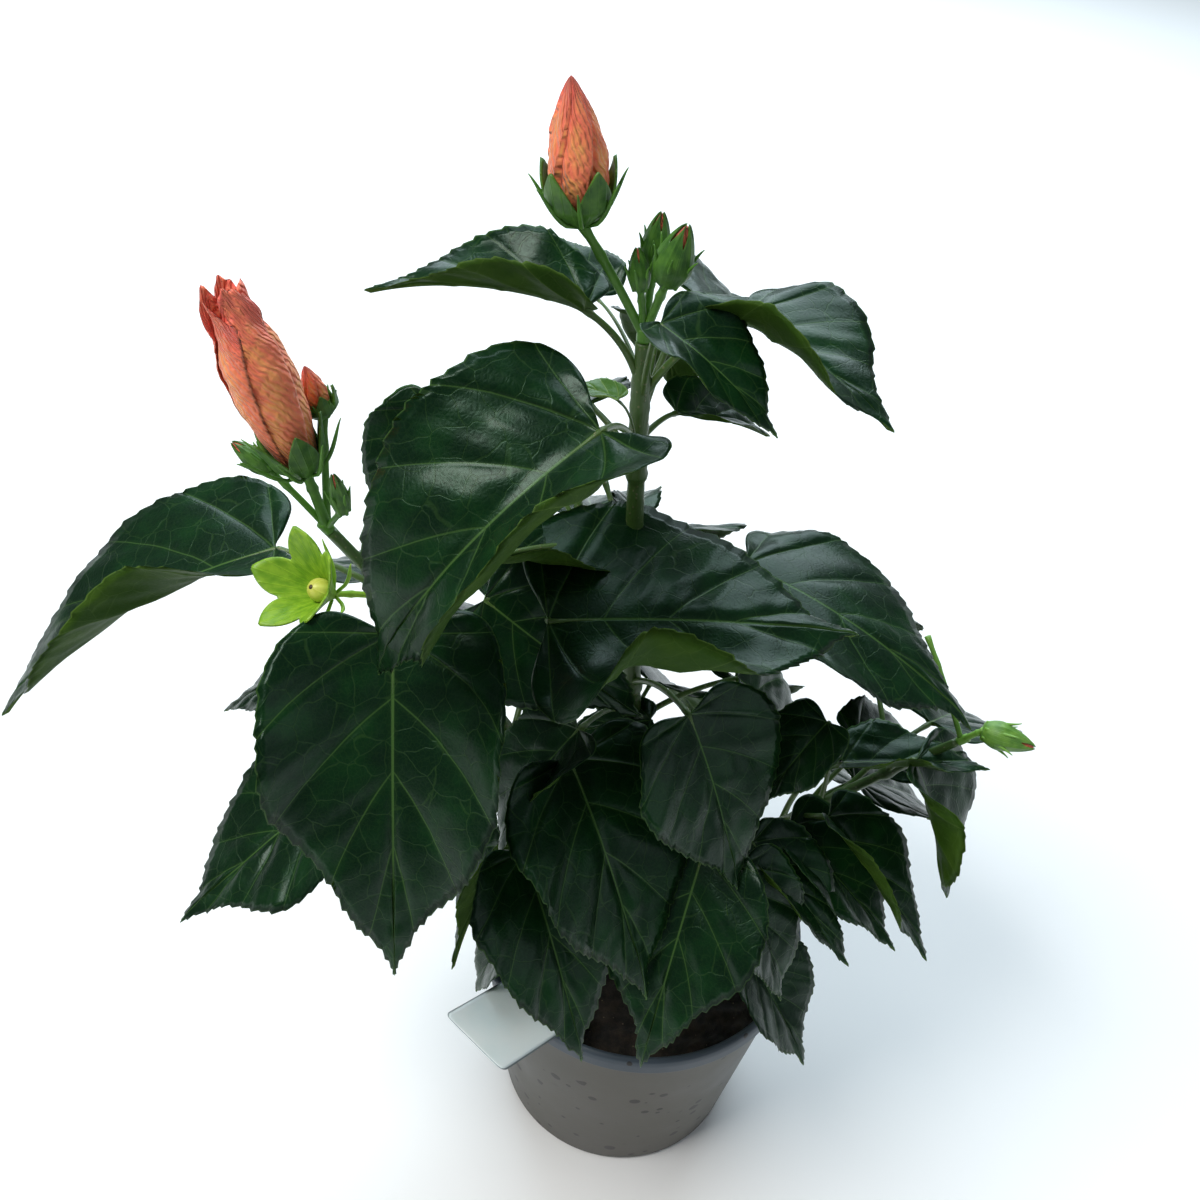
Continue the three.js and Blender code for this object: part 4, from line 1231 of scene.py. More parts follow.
@dataclass(frozen=True)
class GreenFinish:
    """Sepals, bracts and bud stalks: fresh green with fine lengthwise veins."""

    name: str
    base: Triple
    light: Triple
    rough: float = 0.45

    def make(self) -> Material:
        """Builds the material; the Pattern map holds the place across and along a lobe.

        Returns:
            The material.
        """
        n = Paint(self.name)
        across, along = n.parts(n.chart("Pattern"))[:2]
        clouds = n.noise(n.chart("Plan"), 0.3, 4.0)
        stripes = n.math("ABSOLUTE", n.minus(n.math("FRACT", n.times(across, 5.0)), 0.5))
        vein = n.times(n.step(0.1, 0.0, stripes), n.step(0.05, 0.3, along))
        colour = n.mix(n.step(0.3, 0.7, clouds), self.base, self.light)
        colour = n.wash(colour, vein, 0.3, lighter(self.light, 1.5))
        colour = n.wash(colour, n.step(0.88, 1.0, n.from_middle(across)), 0.4, lighter(self.light, 1.8))
        n.set(Base_Color=colour, Roughness=self.rough)
        n.bump(n.plus(clouds, vein), 0.4, 0.0003)
        return n.material


@dataclass(frozen=True)
class PotFinish:
    """Moulded grey-taupe plastic with fine grain, faint scuffs and a few dark specks of soil."""

    dark: Triple = (0.062, 0.058, 0.047)
    pale: Triple = (0.084, 0.079, 0.064)
    rim: Triple = (0.048, 0.066, 0.086)
    soil: Triple = (0.014, 0.012, 0.010)
    rim_foot: Pair = (0.102, 0.104)

    def make(self) -> Material:
        """Builds the material; heights and scales go by the place on the pot in metres.

        Returns:
            The material.
        """
        n = Paint("Pot plastic")
        place = n.place()
        clouds = n.noise(place, 22.0, 5.0, 0.6)
        specks = n.add("ShaderNodeTexVoronoi", Vector=place, Scale=190.0)
        chance = n.add("ShaderNodeSeparateColor", Color=specks.outputs["Color"]).outputs
        spread = n.times(specks.outputs["Distance"], n.plus(chance[1], 0.5))
        speck = n.times(n.step(0.28, 0.2, spread), n.step(0.76, 0.78, chance[0]))
        colour = n.mix(n.step(0.35, 0.65, clouds), self.dark, self.pale)
        colour = n.mix(n.step(*self.rim_foot, n.parts(place)[2]), colour, self.rim)
        n.set(Base_Color=n.mix(speck, colour, self.soil), Roughness=n.step(0.3, 0.7, clouds, 0.42, 0.56))
        n.bump(n.plus(n.times(n.noise(place, 900.0, 2.0), 0.5), n.times(speck, 0.8)), 0.3, 0.0002)
        return n.material


@dataclass(frozen=True)
class MixFinish:
    """Moist dark potting mix with paler fibres and grit."""

    dark: Triple = (0.006, 0.005, 0.004)
    pale: Triple = (0.035, 0.024, 0.015)
    grit: Triple = (0.12, 0.09, 0.06)
    rough: float = 0.9

    def make(self) -> Material:
        """Builds the material; scales go by the place on the mix in metres.

        Returns:
            The material.
        """
        n = Paint("Potting mix")
        place = n.place()
        clumps = n.noise(place, 160.0, 6.0, 0.7)
        grains = n.add("ShaderNodeTexVoronoi", Vector=place, Scale=330.0).outputs["Distance"]
        colour = n.mix(n.step(0.35, 0.7, clumps), self.dark, self.pale)
        n.set(Base_Color=n.mix(n.step(0.12, 0.06, grains), colour, self.grit), Roughness=self.rough)
        n.bump(clumps, 0.9, 0.0015)
        return n.material


@dataclass(frozen=True)
class LabelFinish:
    """Plain pale plastic card, faintly mottled, with painted shade round its edge that stands for the card's
    thickness in shadow.
    """

    dull: Triple = (0.84, 0.96, 0.98)
    pale: Triple = (0.91, 0.99, 1.0)
    edge_shade: Triple = (0.08, 0.13, 0.14)

    def make(self) -> Material:
        """Builds the material; the Edge map holds the distance from the edge in millimetres.

        Returns:
            The material.
        """
        n = Paint("Label card")
        clouds = n.noise(n.place(), 60.0, 4.0)
        colour = n.mix(n.step(0.35, 0.65, clouds), self.dull, self.pale)
        # Painted shade: a dark band round every border of the card stands for its thickness in shadow.
        rim = n.step(0.8, 0.3, n.parts(n.chart("Edge"))[0])
        n.set(Base_Color=n.wash(colour, rim, 0.8, self.edge_shade), Roughness=n.step(0.3, 0.7, clouds, 0.3, 0.42))
        return n.material


# ---- stems --------------------------------------------------------------------------------------
@dataclass
class Shoots:
    """The stem and the boughs: one fine limb each, bare stretch and leafy stretch in one.

    Lengths are millimetres. The stem flares at its foot; a bough starts a little inside it.
    """

    bare_nodes: dict[str, str] = field(default_factory=lambda: {
        "main": "main_stem", "left": "bough_left", "right": "bough_right", "front": "bough_front",
        "lowLeft": "bough_low_left", "backLeft": "bough_back_left", "backRight": "bough_back_right",
    })
    spacing: float = 1.4
    sides: int = 22
    flare: float = 4.2
    flare_height: float = 9.0
    sunk: float = 1.5
    stem_green: float = 130.0
    bough_green: float = 60.0
    swelling: float = 0.42
    scar: float = 0.22

    FINE = 400

    def build(self, finish: Material) -> None:
        """Makes every limb with swollen leaf scars where stalks leave it.

        Args:
            finish: The shoots' material.
        """
        for name, limb in LIMBS.items():
            joints = [leaf.at for mass in MASSES.values() if mass.limb == name for leaf in mass.leaves]
            trunk = name == "main"
            first = 0.0 if trunk else -self.sunk
            d = np.linspace(first, limb.length, round((limb.length - first) / self.spacing))
            path = curve_through(limb.points[::4], self.FINE)
            spots = np.linspace(0, limb.length, self.FINE)
            path = np.stack([np.interp(d, spots, path[:, k]) for k in range(3)], 1)
            if not trunk:
                path[d < 0] = np.array([limb.at(x) for x in d[d < 0]])
            radii = limb.radius_at(d)
            if trunk:
                radii = radii + self.flare * np.exp(-d / self.flare_height)
            turn = round_angles(self.sides)
            relief = self.relief(d[:, None], turn, joints, hash_of(name))
            age = np.clip(1.15 - d / (self.stem_green if trunk else self.bough_green), 0, 1)[:, None]
            pattern = np.stack(np.broadcast_arrays(turn / TAU, age), -1)
            draft = Draft()
            tube(draft, path, radii, self.sides, relief=relief, pattern=pattern)
            draft.build(f"limb_{self.bare_nodes[name]}", [finish], "stem", self.bare_nodes[name])

    def relief(self, d: Array, turn: Array, joints: Sequence[float], seed: int) -> Array:
        """Bark height: long low ridges, and a swelling with a scar below it at each joint.

        Args:
            d: Distance along the limb, one column.
            turn: Angle round it, one row.
            joints: Distances at which leaf stalks leave it.
            seed: Chooses the ridges.

        Returns:
            The height in millimetres.
        """
        ridges = 0.10 * np.sin(turn * 5 + 0.05 * d + seed) + 0.06 * np.sin(turn * 11 - 0.08 * d + 2 * seed)
        height = ridges * (0.5 + 0.5 * np.sin(d * 0.21 + turn * 2 + seed))
        height = height + 0.08 * ripples(d / 9, turn / 2, seed)
        for at in joints:
            gap = d - at
            height = height + self.swelling * bell(gap, 0, 2.6) - self.scar * bell(gap, -3.4, 0.6)
        return height


def hash_of(name: str) -> int:
    """A small number from a name, the same each time."""
    return sum(ord(letter) * (i + 1) for i, letter in enumerate(name)) % 97


@dataclass
class Foliage:
    """The leaf blades and the leaf stalks of every mass."""

    skin: BladeSkin = field(default_factory=BladeSkin)
    stalk_root: float = 1.15
    stalk_tip: float = 0.75
    sides: int = 9
    age: float = 0.08
    lift: float = 18.0

    def build(self, blades: Sequence[Material], stalks: Material) -> None:
        """Makes one piece of blades and one of stalks for each mass.

        Args:
            blades: Materials of the blades: upper and lower, then young upper and young lower.
            stalks: Material of the stalks.
        """
        placed = [waymarks(LIMBS[mass.limb], leaf) for mass in MASSES.values() for leaf in mass.leaves]
        for mass in MASSES.values():
            mass.gather(placed)
        for name, mass in MASSES.items():
            limb, kind = LIMBS[mass.limb], name.removeprefix("foliage_")
            draft = Draft(2 * len(mass.leaves))
            twigs = Draft(len(mass.leaves))
            for i, leaf in enumerate(mass.leaves):
                self.skin.add_to(draft, limb, leaf, hash_of(name) + 5 * i)
                self.add_stalk(twigs, limb, leaf)
            draft.build(f"leaves_{kind}", blades, "foliage", name)
            twigs.build(f"stalks_{kind}", [stalks], "stem", name)

    def add_stalk(self, draft: Draft, limb: Limb, leaf: Leaf) -> None:
        """A leaf stalk: an arch from inside the limb to the blade's foot, then under the midrib.

        Args:
            draft: The mesh to add to.
            limb: The limb that bears the leaf.
            leaf: The leaf.
        """
        heading, rise, reach = leaf.stalk
        start = limb.at(leaf.at)
        bow = start + toward(heading, rise + self.lift) * reach * 0.55
        places, normals = leaf.surface(limb, np.array([0.0, 0.06, 0.16]), np.zeros(3))
        joint = places[0] - normals[0] * 0.55
        under = places[1:] - normals[1:] * 0.5
        path = curve_through([*arch(start, bow, joint, 14), *under], 34)
        share = np.linspace(0, 1, len(path))
        radii = self.stalk_root + (self.stalk_tip - self.stalk_root) * share
        radii = radii * (1 + 0.45 * bell(share, 0, 0.08) + 0.35 * bell(share, 0.84, 0.05))
        radii = radii * np.where(share > 0.86, 1 - 0.75 * (share - 0.86) / 0.14, 1)
        radii = radii * min(1.0, leaf.length / 45)
        tube(draft, path, radii, self.sides, pattern=np.full((len(path), self.sides, 2), self.age))


# ---- flowers ------------------------------------------------------------------------------------
@dataclass(frozen=True)
class Site:
    """Where a flower part stands and the direction in which it points."""

    place: Array
    heading: float
    rise: float

    def put(self, points: Array) -> Array:
        """Points that stand on the origin along +Z, moved to the site."""
        return stood_up(points, self.place, self.heading, self.rise)


def turned(draft: Draft, radii: Array, heights: Array, sides: int, site: Site,
           finish: int = 0, turn: Array | None = None, across: Array | None = None) -> None:
    """A closed body of revolution; its first and last rows lie on the axis.

    Args:
        draft: The mesh to add to.
        radii: Radius of each point, rows by 1 or rows by sides.
        heights: Height of each point in the same shape.
        sides: Points round the body.
        site: Where it stands.
        finish: Number of the finish.
        turn: Angles of the points; evenly spread where not given.
        across: First value of the Pattern map; the share of the way round where not given.
    """
    rows = len(radii)
    angle = round_angles(sides) if turn is None else turn
    radii, heights, angle = np.broadcast_arrays(radii, heights, angle)
    grid = site.put(np.stack([radii * np.cos(angle), radii * np.sin(angle), heights], -1))
    u, v = np.meshgrid(np.arange(sides) / sides, np.linspace(0, 1, rows))
    pattern = np.stack(np.broadcast_arrays(u if across is None else across, v), -1)
    plan = np.stack([u * TAU * float(radii.max()), heights], -1)
    maps = {"OFBake": draft.cell(u, v), "Pattern": pattern, "Plan": plan}
    draft.add(grid, maps, finish, closed=True, weld_with=draft.pinched(rows, sides))


def plate(draft: Draft, grid: Array, thick: float, crisp: float) -> None:
    """A thin sheet over a grid: two skins that meet along the grid's border.

    The half thickness falls to nothing at the border as the root of 1 - m^crisp, where m is
    the larger of the two distances from the middle, 0 in the middle to 1 at the border.

    Args:
        draft: The mesh to add to.
        grid: Points of the sheet's middle.
        thick: Its thickness.
        crisp: The power, large for a square edge.
    """
    rows, columns = grid.shape[:2]
    normal = unit(np.cross(np.gradient(grid, axis=1), np.gradient(grid, axis=0)))
    u, v = np.meshgrid(np.linspace(0, 1, columns), np.linspace(0, 1, rows))
    m = np.maximum(np.abs(2 * u - 1), np.abs(2 * v - 1))
    half = (thick / 2 * np.sqrt(np.maximum(1 - m**crisp, 0)))[..., None]
    length = float(np.linalg.norm(np.diff(grid[:, columns // 2], axis=0), axis=1).sum())
    width = float(np.linalg.norm(np.diff(grid[rows // 2], axis=0), axis=1).sum())
    rim = np.minimum(np.minimum(u, 1 - u) * width, np.minimum(v, 1 - v) * length)
    maps = {"Pattern": np.stack([u, v], -1), "Plan": np.stack([u * width, v * length], -1),
            "Edge": np.stack([rim, v], -1), "OFBake": draft.cell(u, v)}
    top = draft.add(grid + normal * half, maps)
    maps["OFBake"] = draft.cell(u, v)
    draft.add(grid - normal * half, maps, outward=False, weld_with=draft.bordered(top))


@dataclass(frozen=True)
class Cup:
    """A cup whose wall ends in pointed lobes.

    The outside follows outline(v), with v from the foot to a lobe's tip. Between the lobes v
    is lowered by up to depth, in a saw of straight flanks. The inside runs back down to floor.
    """

    outline: Callable[[Array], tuple[Array, Array]]
    depth: float
    wall: float
    floor: float
    turn: float = 0.0
    lobes: int = 5
    keel: float = 0.25
    fullness: float = 0.75

    LOBE_SIDES = 16
    RISING = 22
    FALLING = 12
    LEAST = 0.15

    def add_to(self, draft: Draft, site: Site) -> None:
        """Adds the cup to a mesh at a site.

        Args:
            draft: The mesh to add to.
            site: Where the cup's foot stands.
        """
        sides = self.lobes * self.LOBE_SIDES
        place = ((round_angles(sides) - self.turn) * self.lobes / TAU + 0.5) % 1.0
        tooth = (1 - np.abs(2 * place - 1)) ** self.fullness
        up, down = np.linspace(0.02, 1, self.RISING), np.linspace(0.98, self.floor, self.FALLING)
        v = np.concatenate([[0.0], up, down, [self.floor]])[:, None]
        inside = np.repeat([0.0, 1.0], [self.RISING + 1, self.FALLING + 1])[:, None]
        share = v * (1 - self.depth * (1 - tooth))
        radius, height = self.outline(share)
        wider, higher = self.outline(share + 0.01)
        slope = np.arctan2(wider - radius, higher - height)
        inset = inside * self.wall
        keel = self.keel * (1 - inside) * bell(place, 0.5, 0.08) * smooth(0.1, 0.4, v)
        radii = np.maximum(radius - inset * np.cos(slope) + keel, self.LEAST)
        radii[0], radii[-1] = 0.0, 0.0
        turned(draft, radii, height + inset * np.sin(slope), sides, site, across=place)


class Bloom(Enum):
    """What a flower stalk bears."""

    FURLED = 1
    OPENING = 2
    GREEN = 3
    STUB = 4


@dataclass(frozen=True)
class Flower:
    """One flower or bud: its stalk and its axis as directions, its length and its radius.

    The stalk is a heading, a rise and a length; lobe is the length of the sepals.
    """

    stalk: Triple
    stem_radius: float
    bloom: Bloom
    axis: Pair = (0.0, 0.0)
    length: float = 0.0
    radius: float = 0.0
    lobe: float = 0.0

    PETALS = 5
    BED = 2.1
    CLEAR = 1.55
    SILK = 0.45
    PROFILE = ((0, 0), (0.6, 0.03), (1, 0.26), (0.95, 0.46), (0.62, 0.74), (0.22, 0.94), (0, 1))
    WIDE = (0.2, 0.5)
    CLOSE = (0.62, 1.2)

    def shape(self, s: Array) -> Array:
        """Radius of the petals along their length, as a share of the widest.

        Args:
            s: Share of their length.

        Returns:
            The radius at each share.
        """
        s = np.clip(s, 0.0, 1.0)
        if self.bloom is Bloom.FURLED:
            return np.maximum(np.sin(math.pi * s**0.7), 0) ** 0.75
        return 0.5 + 0.5 * np.sin(math.pi / 2 * np.minimum(s / 0.5, 1)) - 0.12 * np.maximum(s - 0.6, 0)

    def sepals(self, v: Array) -> tuple[Array, Array]:
        """Outline of the calyx round the petals.

        Args:
            v: Share of a sepal's length.

        Returns:
            The radius and the height in millimetres.
        """
        petals = self.radius * self.shape((v * self.lobe + 0.6) / self.length)
        rise = np.sqrt(np.minimum(0.06 + 2.6 * v, 1.0))
        return rise * (petals + self.CLEAR + 0.6 * v + 1.2 * np.maximum(v - 0.6, 0)), v * self.lobe

    def shut(self, v: Array) -> tuple[Array, Array]:
        """Outline of a green bud's calyx, close round its heart.

        Args:
            v: Share of the bud's length.

        Returns:
            The radius and the height in millimetres.
        """
        heights = np.clip(v, 0.0, 1.0)
        curve = curve_through(self.PROFILE, 60)
        radius = np.interp(heights, curve[:, 1], curve[:, 0])
        return self.radius * np.maximum(radius, 0.02), heights * self.length

    def add_petals(self, draft: Draft, site: Site) -> None:
        """Adds the petals: five wound round one another, shut or open at their tips.

        Args:
            draft: The mesh to add to.
            site: Where the flower stands.
        """
        if self.bloom is Bloom.FURLED:
            self.add_wound(draft, site)
        if self.bloom is Bloom.OPENING:
            for k in range(self.PETALS):
                self.add_petal(draft, site, k)

    def add_wound(self, draft: Draft, site: Site) -> None:
        """Shut petals: each one's edge lies over the next, in a slow spiral.

        Args:
            draft: The mesh to add to.
            site: Where the flower stands.
        """
        each = 16
        sides = self.PETALS * each
        s = np.linspace(0, 1, 56)[:, None]
        column = np.arange(sides)[None, :]
        share = (column % each) / (each - 1)
        angle = TAU * column / sides + 1.1 * s**1.4
        lap = 0.16 * (share - 0.4) - 0.1 * bell(share, 0, 0.12)
        folds = 0.03 * np.sin(28 * s + 8 * share) + 0.024 * np.abs(np.sin(36 * s - 7 * share + 1.3))
        radii = self.radius * self.shape(s) * (0.96 + lap + folds * smooth(0.05, 0.3, s))
        heights = self.BED + self.length * (s + 0.0 * share)
        turned(draft, radii, heights, sides, site, turn=angle, across=share)

    def add_petal(self, draft: Draft, site: Site, k: int) -> None:
        """One petal of a tube that has begun to open: it laps over the next and flares a little.

        Args:
            draft: The mesh to add to.
            site: Where the flower stands.
            k: The petal's number, which also chooses its crumples.
        """
        v, f = np.meshgrid(np.linspace(0, 1, 60), np.linspace(0, 1, 22), indexing="ij")
        angle = TAU * k / self.PETALS + f * 1.95 + 0.7 * v
        crumple = 0.3 * np.sin(31 * v + 6 * f + 1.9 * k) + 0.25 * np.abs(np.sin(43 * v - 9 * f + k))
        flare = smooth(0.86, 1.0, v) * (0.6 + 0.9 * np.sin(7 * f + 2.3 * k)) + 0.9 * np.sin(math.pi * v)
        closing = 1 - (0.22 + 0.4 * (1 - f)) * smooth(0.55, 0.95, v)
        radii = self.radius * self.shape(v) * np.minimum(1.0, 0.2 + 14 * v) * (0.8 + 0.17 * f) * closing
        radii = radii + crumple * smooth(0.1, 0.4, v) * (1 - 0.4 * f) + flare
        ragged = 0.018 * np.sin(11 * f + 1.7 * k) + 0.008 * np.sin(25 * f + k)
        reach = 1 - 0.16 * np.abs(2 * f - 1) ** 1.4 + ragged - 0.03 * (k % 3)
        heights = self.BED + self.length * v * (1 + (reach - 1) * smooth(0.55, 1.0, v))
        grid = site.put(np.stack([radii * np.cos(angle), radii * np.sin(angle), heights], -1))
        plate(draft, grid, self.SILK, 10.0)

    def add_greens(self, draft: Draft, site: Site) -> None:
        """Adds the calyx and the slim bracts round its foot.

        Args:
            draft: The mesh to add to.
            site: Where the flower stands.
        """
        if self.bloom in (Bloom.FURLED, Bloom.OPENING):
            Cup(self.sepals, depth=0.62, wall=0.6, floor=0.14, turn=0.3).add_to(draft, site)
            self.add_bracts(draft, site, 7, self.lobe * 0.95, self.radius * 1.75, self.WIDE)
        elif self.bloom is Bloom.GREEN:
            s = np.linspace(0, 1, 24)[:, None]
            radius, height = self.shut(s)
            radius[0], radius[-1] = 0.0, 0.0
            turned(draft, radius * 0.74, height * 0.95 + 0.2, 20, site, 1)
            Cup(self.shut, depth=0.34, wall=0.5, floor=0.2, turn=0.5).add_to(draft, site)
            self.add_bracts(draft, site, 6, self.length * 0.75, self.radius * 1.35, self.CLOSE)

    def add_bracts(self, draft: Draft, site: Site, count: int, length: float,
                   spread: float, manner: Pair) -> None:
        """Slim bracts that spread from the foot of a calyx and curl a little at their tips.

        Args:
            draft: The mesh to add to.
            site: Where the calyx stands.
            count: How many bracts there are.
            length: Height of their tips.
            spread: Distance of their tips from the axis.
            manner: Where they start, as a share of the flower's radius, and the power by which
                they spread: under one they first run outward, over one first upward.
        """
        root = self.radius * manner[0]
        for k in range(count):
            angle = 0.3 + TAU * k / count
            out = np.array([math.cos(angle), math.sin(angle), 0.0])
            s = np.linspace(0, 1, 12)[:, None]
            reach = root + (spread - root) * s ** manner[1]
            line = out * reach + np.array([0.0, 0.0, 1.0]) * length * (0.04 + 0.9 * s - 0.12 * s**4)
            radii = 0.52 * (1.0 + 0.3 * np.sin(math.pi * s[:, 0])) * (1 - 0.75 * s[:, 0] ** 2)
            tube(draft, site.put(line), radii, 7)


@dataclass(frozen=True)
class Spray:
    """The flowers at the end of a limb."""

    limb: str
    hub_radius: float
    flowers: tuple[Flower, ...]
    petals_node: str = ""
    greens_node: str = ""

    HUB = 4.0
    SILK_CELLS = 12
    GREEN_CELLS = 64

    def build(self, name: str, petal: Material, green: Sequence[Material]) -> None:
        """Makes the petals and the green parts as two pieces.

        Args:
            name: The spray's name.
            petal: Material of the petals.
            green: Materials of the calyx and of what a shut bud shows of its petals.
        """
        limb = LIMBS[self.limb]
        crotch, tip = limb.at(limb.length + self.HUB), limb.at(limb.length + 0.4)
        silk, greens = Draft(self.SILK_CELLS), Draft(self.GREEN_CELLS)
        tube(greens, np.linspace(tip, crotch, 6), np.full(6, self.hub_radius), 12)
        for flower in self.flowers:
            heading, rise, reach = flower.stalk
            foot = crotch + toward(heading, rise) * reach
            site = Site(foot, *flower.axis)
            inside = foot + toward(*flower.axis) * (0.0 if flower.bloom is Bloom.STUB else 0.9)
            add_twig(greens, limb.at(limb.length + 1.5), inside, flower.stem_radius)
            flower.add_petals(silk, site)
            flower.add_greens(greens, site)
        greens.build(f"sepals_{name}", green, "bud", self.greens_node)
        if self.petals_node:
            silk.build(f"blossom_{name}", [petal], "petal", self.petals_node)


def add_twig(draft: Draft, start: Array, end: Array, radius: float) -> None:
    """A flower stalk: a low arch with a swelling under the flower.

    Args:
        draft: The mesh to add to.
        start: Where it leaves the limb.
        end: Where the flower stands.
        radius: Its radius.
    """
    bow = (start + end) / 2 + np.array([0.0, 0.0, 0.05 * float(np.linalg.norm(end - start))])
    path = arch(start, bow, end, 18)
    share = np.linspace(0, 1, len(path))
    knee = 0.25 * bell(share, 0.72, 0.05)
    tube(draft, path, radius * (1 - 0.12 * share + knee + 0.35 * smooth(0.85, 1.0, share)))


SPRAYS = {
    "top": Spray("main", 1.9, (
        Flower((-80, 56, 31), 1.2, Bloom.FURLED, (-95, 82), 32, 6.7, 16),
        Flower((38, 67, 16), 1.2, Bloom.GREEN, (58, 77), 17, 4.7),
        Flower((173, 77, 15), 1.1, Bloom.GREEN, (90, 87), 14.5, 3.6),
        Flower((-31, 72, 12), 1.0, Bloom.GREEN, (-90, 80), 11.4, 2.6),
    ), "petals_top", "flowers_top"),
    "left": Spray("left", 1.8, (
        Flower((-30, 79, 18), 1.5, Bloom.OPENING, (-92, 72), 55, 8.2, 17),
        Flower((176, 72, 30), 1.1, Bloom.FURLED, (-90, 75), 14, 3.2, 9),
        Flower((-94, 50, 20), 1.0, Bloom.GREEN, (-90, 40), 13, 3.2),
        Flower((52, 42, 14), 0.9, Bloom.GREEN, (-39, 80), 14.6, 2.6),
    ), "petals_left", "flowers_left"),
    "right": Spray("right", 1.5, (
        Flower((50, 65, 7), 1.1, Bloom.GREEN, (73, -2), 17.5, 4.6),
        Flower((-137, 45, 36), 0.9, Bloom.STUB),
    ), greens_node="buds_right"),
}


@dataclass(frozen=True)
class SpentCalyx:
    """A wide open calyx that has lost its flower, with the young seed case in it."""

    limb: str = "left"
    at: float = 197.0
    stalk: Triple = (-38.0, 34.0, 26.0)
    axis: Pair = (-44.0, 44.0)
    length: float = 21.0
    radius: float = 14.5
    seed: float = 3.335
    bed: float = 2.4
    scar: float = 0.7
    node: str = "foliage_left"

    def outline(self, v: Array) -> tuple[Array, Array]:
        """Outline of the opened lobes."""
        radius = self.radius * np.sin(np.minimum(0.16 + 1.15 * v, 1.35)) * (0.55 + 0.5 * v)
        return radius, v * self.length * (1 - 0.12 * v)

    def build(self, finishes: Sequence[Material]) -> None:
        """Makes the calyx, its stalk and bracts, and the seed case with its dark scar.

        Args:
            finishes: Materials of the calyx, the seed case and the scar.
        """
        limb = LIMBS[self.limb]
        heading, rise, reach = self.stalk
        foot = limb.at(self.at) + toward(heading, rise) * reach
        site = Site(foot, *self.axis)
        draft = Draft(16)
        add_twig(draft, limb.at(self.at), foot + toward(*self.axis) * 0.8, 1.0)
        cup = Cup(self.outline, depth=0.46, wall=0.6, floor=0.08, turn=0.2, keel=0.3, fullness=0.6)
        cup.add_to(draft, site)
        bud = Flower(self.stalk, 1.0, Bloom.GREEN, self.axis, self.length, self.radius * 0.5)
        bud.add_bracts(draft, site, 6, self.length * 0.5, self.radius * 0.95, bud.WIDE)
        t = np.linspace(0, math.pi, 16)[:, None]
        turned(draft, self.seed * np.sin(t), self.bed + self.seed * (1 - 1.15 * np.cos(t)), 24, site, 1)
        t = np.linspace(0, math.pi, 8)[:, None]
        top = self.bed + self.seed * 2.12
        turned(draft, self.scar * np.sin(t), top - self.scar / 2 * np.cos(t), 12, site, 2)
        draft.build("calyx_spent", finishes, "bud", self.node)


# ---- pot, potting mix and label -----------------------------------------------------------------
UPRIGHT = Site(np.zeros(3), 0, 90)


def eased(profile: Sequence[Pair], inset: float) -> Array:
    """A profile with each inner corner turned into five points of a small round.

    Args:
        profile: Radius and height of each corner.
        inset: How far the round reaches along each side.

    Returns:
        The rounded profile.
    """
    p = np.array(profile, float)
    points = [p[0]]
    for before, here, after in zip(p[:-2], p[1:-1], p[2:]):
        back, ahead = unit(before - here), unit(after - here)
        reach = min(inset, 0.4 * np.linalg.norm(before - here), 0.4 * np.linalg.norm(after - here))
        points.extend(arch(here + back * reach, here, here + ahead * reach, 5))
    points.append(p[-1])
    return np.array(points)


@dataclass(frozen=True)
class Pot:
    """The round nursery pot: a tapering wall with a rolled rim."""

    profile: tuple[Pair, ...] = (
        (0, 0), (49.3, 0), (51, 1.6), (62.4, 102.6), (63.2, 103.5), (64.5, 103.9), (65, 104.8),
        (65, 109.3), (64.5, 111.1), (63.3, 112), (62.2, 111.6), (61.7, 110.4), (61.2, 103),
        (49, 3.8), (47.4, 2.4), (0, 2.4),
    )
    ease: float = 0.6
    sides: int = 120

    def build(self, finish: Material) -> None:
        """Makes the pot.

        Args:
            finish: The pot's material.
        """
        draft = Draft()
        line = eased(self.profile, self.ease)
        turned(draft, line[:, :1], line[:, 1:], self.sides, UPRIGHT)
        draft.build("pot_shell", [finish], "pot", "pot")


@dataclass(frozen=True)
class Mix:
    """The potting mix: loose clods, a little heaped at the stem."""

    level: float = 95.2
    low: float = 4.4
    foot: float = 49.0
    reach: float = 59.4
    sides: int = 220

    def build(self, finish: Material) -> None:
        """Makes the mix: clods on top, a plain side and a flat underside.

        Args:
            finish: The mix's material.
        """
        reach = np.linspace(0, self.reach, 84)[:, None]
        turn = round_angles(self.sides)
        x, y = reach * np.cos(turn), reach * np.sin(turn)
        clods = 0.9 * ripples(x / 17, y / 17, 3) + 0.8 * np.abs(ripples(x / 7, y / 7, 5))
        clods = clods + 0.5 * np.abs(ripples(x / 3.2, y / 3.2, 8))
        dome = self.level - 2.4 * smooth(40, self.reach, reach) - 0.9 * smooth(8, 40, reach)
        top = dome + (clods - 0.6) * smooth(0, 4, reach)
        radii = np.concatenate([[[0.0], [self.foot - 0.8], [self.foot], [self.reach + 0.2]], reach[::-1]])
        bottom = np.broadcast_to([[self.low], [self.low], [self.low + 2]], (3, self.sides))
        heights = np.concatenate([bottom, top[-1:] - 1.2, top[::-1]])
        draft = Draft()
        turned(draft, radii, heights, self.sides, UPRIGHT)
        draft.build("mix_bed", [finish], "potting_mix", "potting_mix")


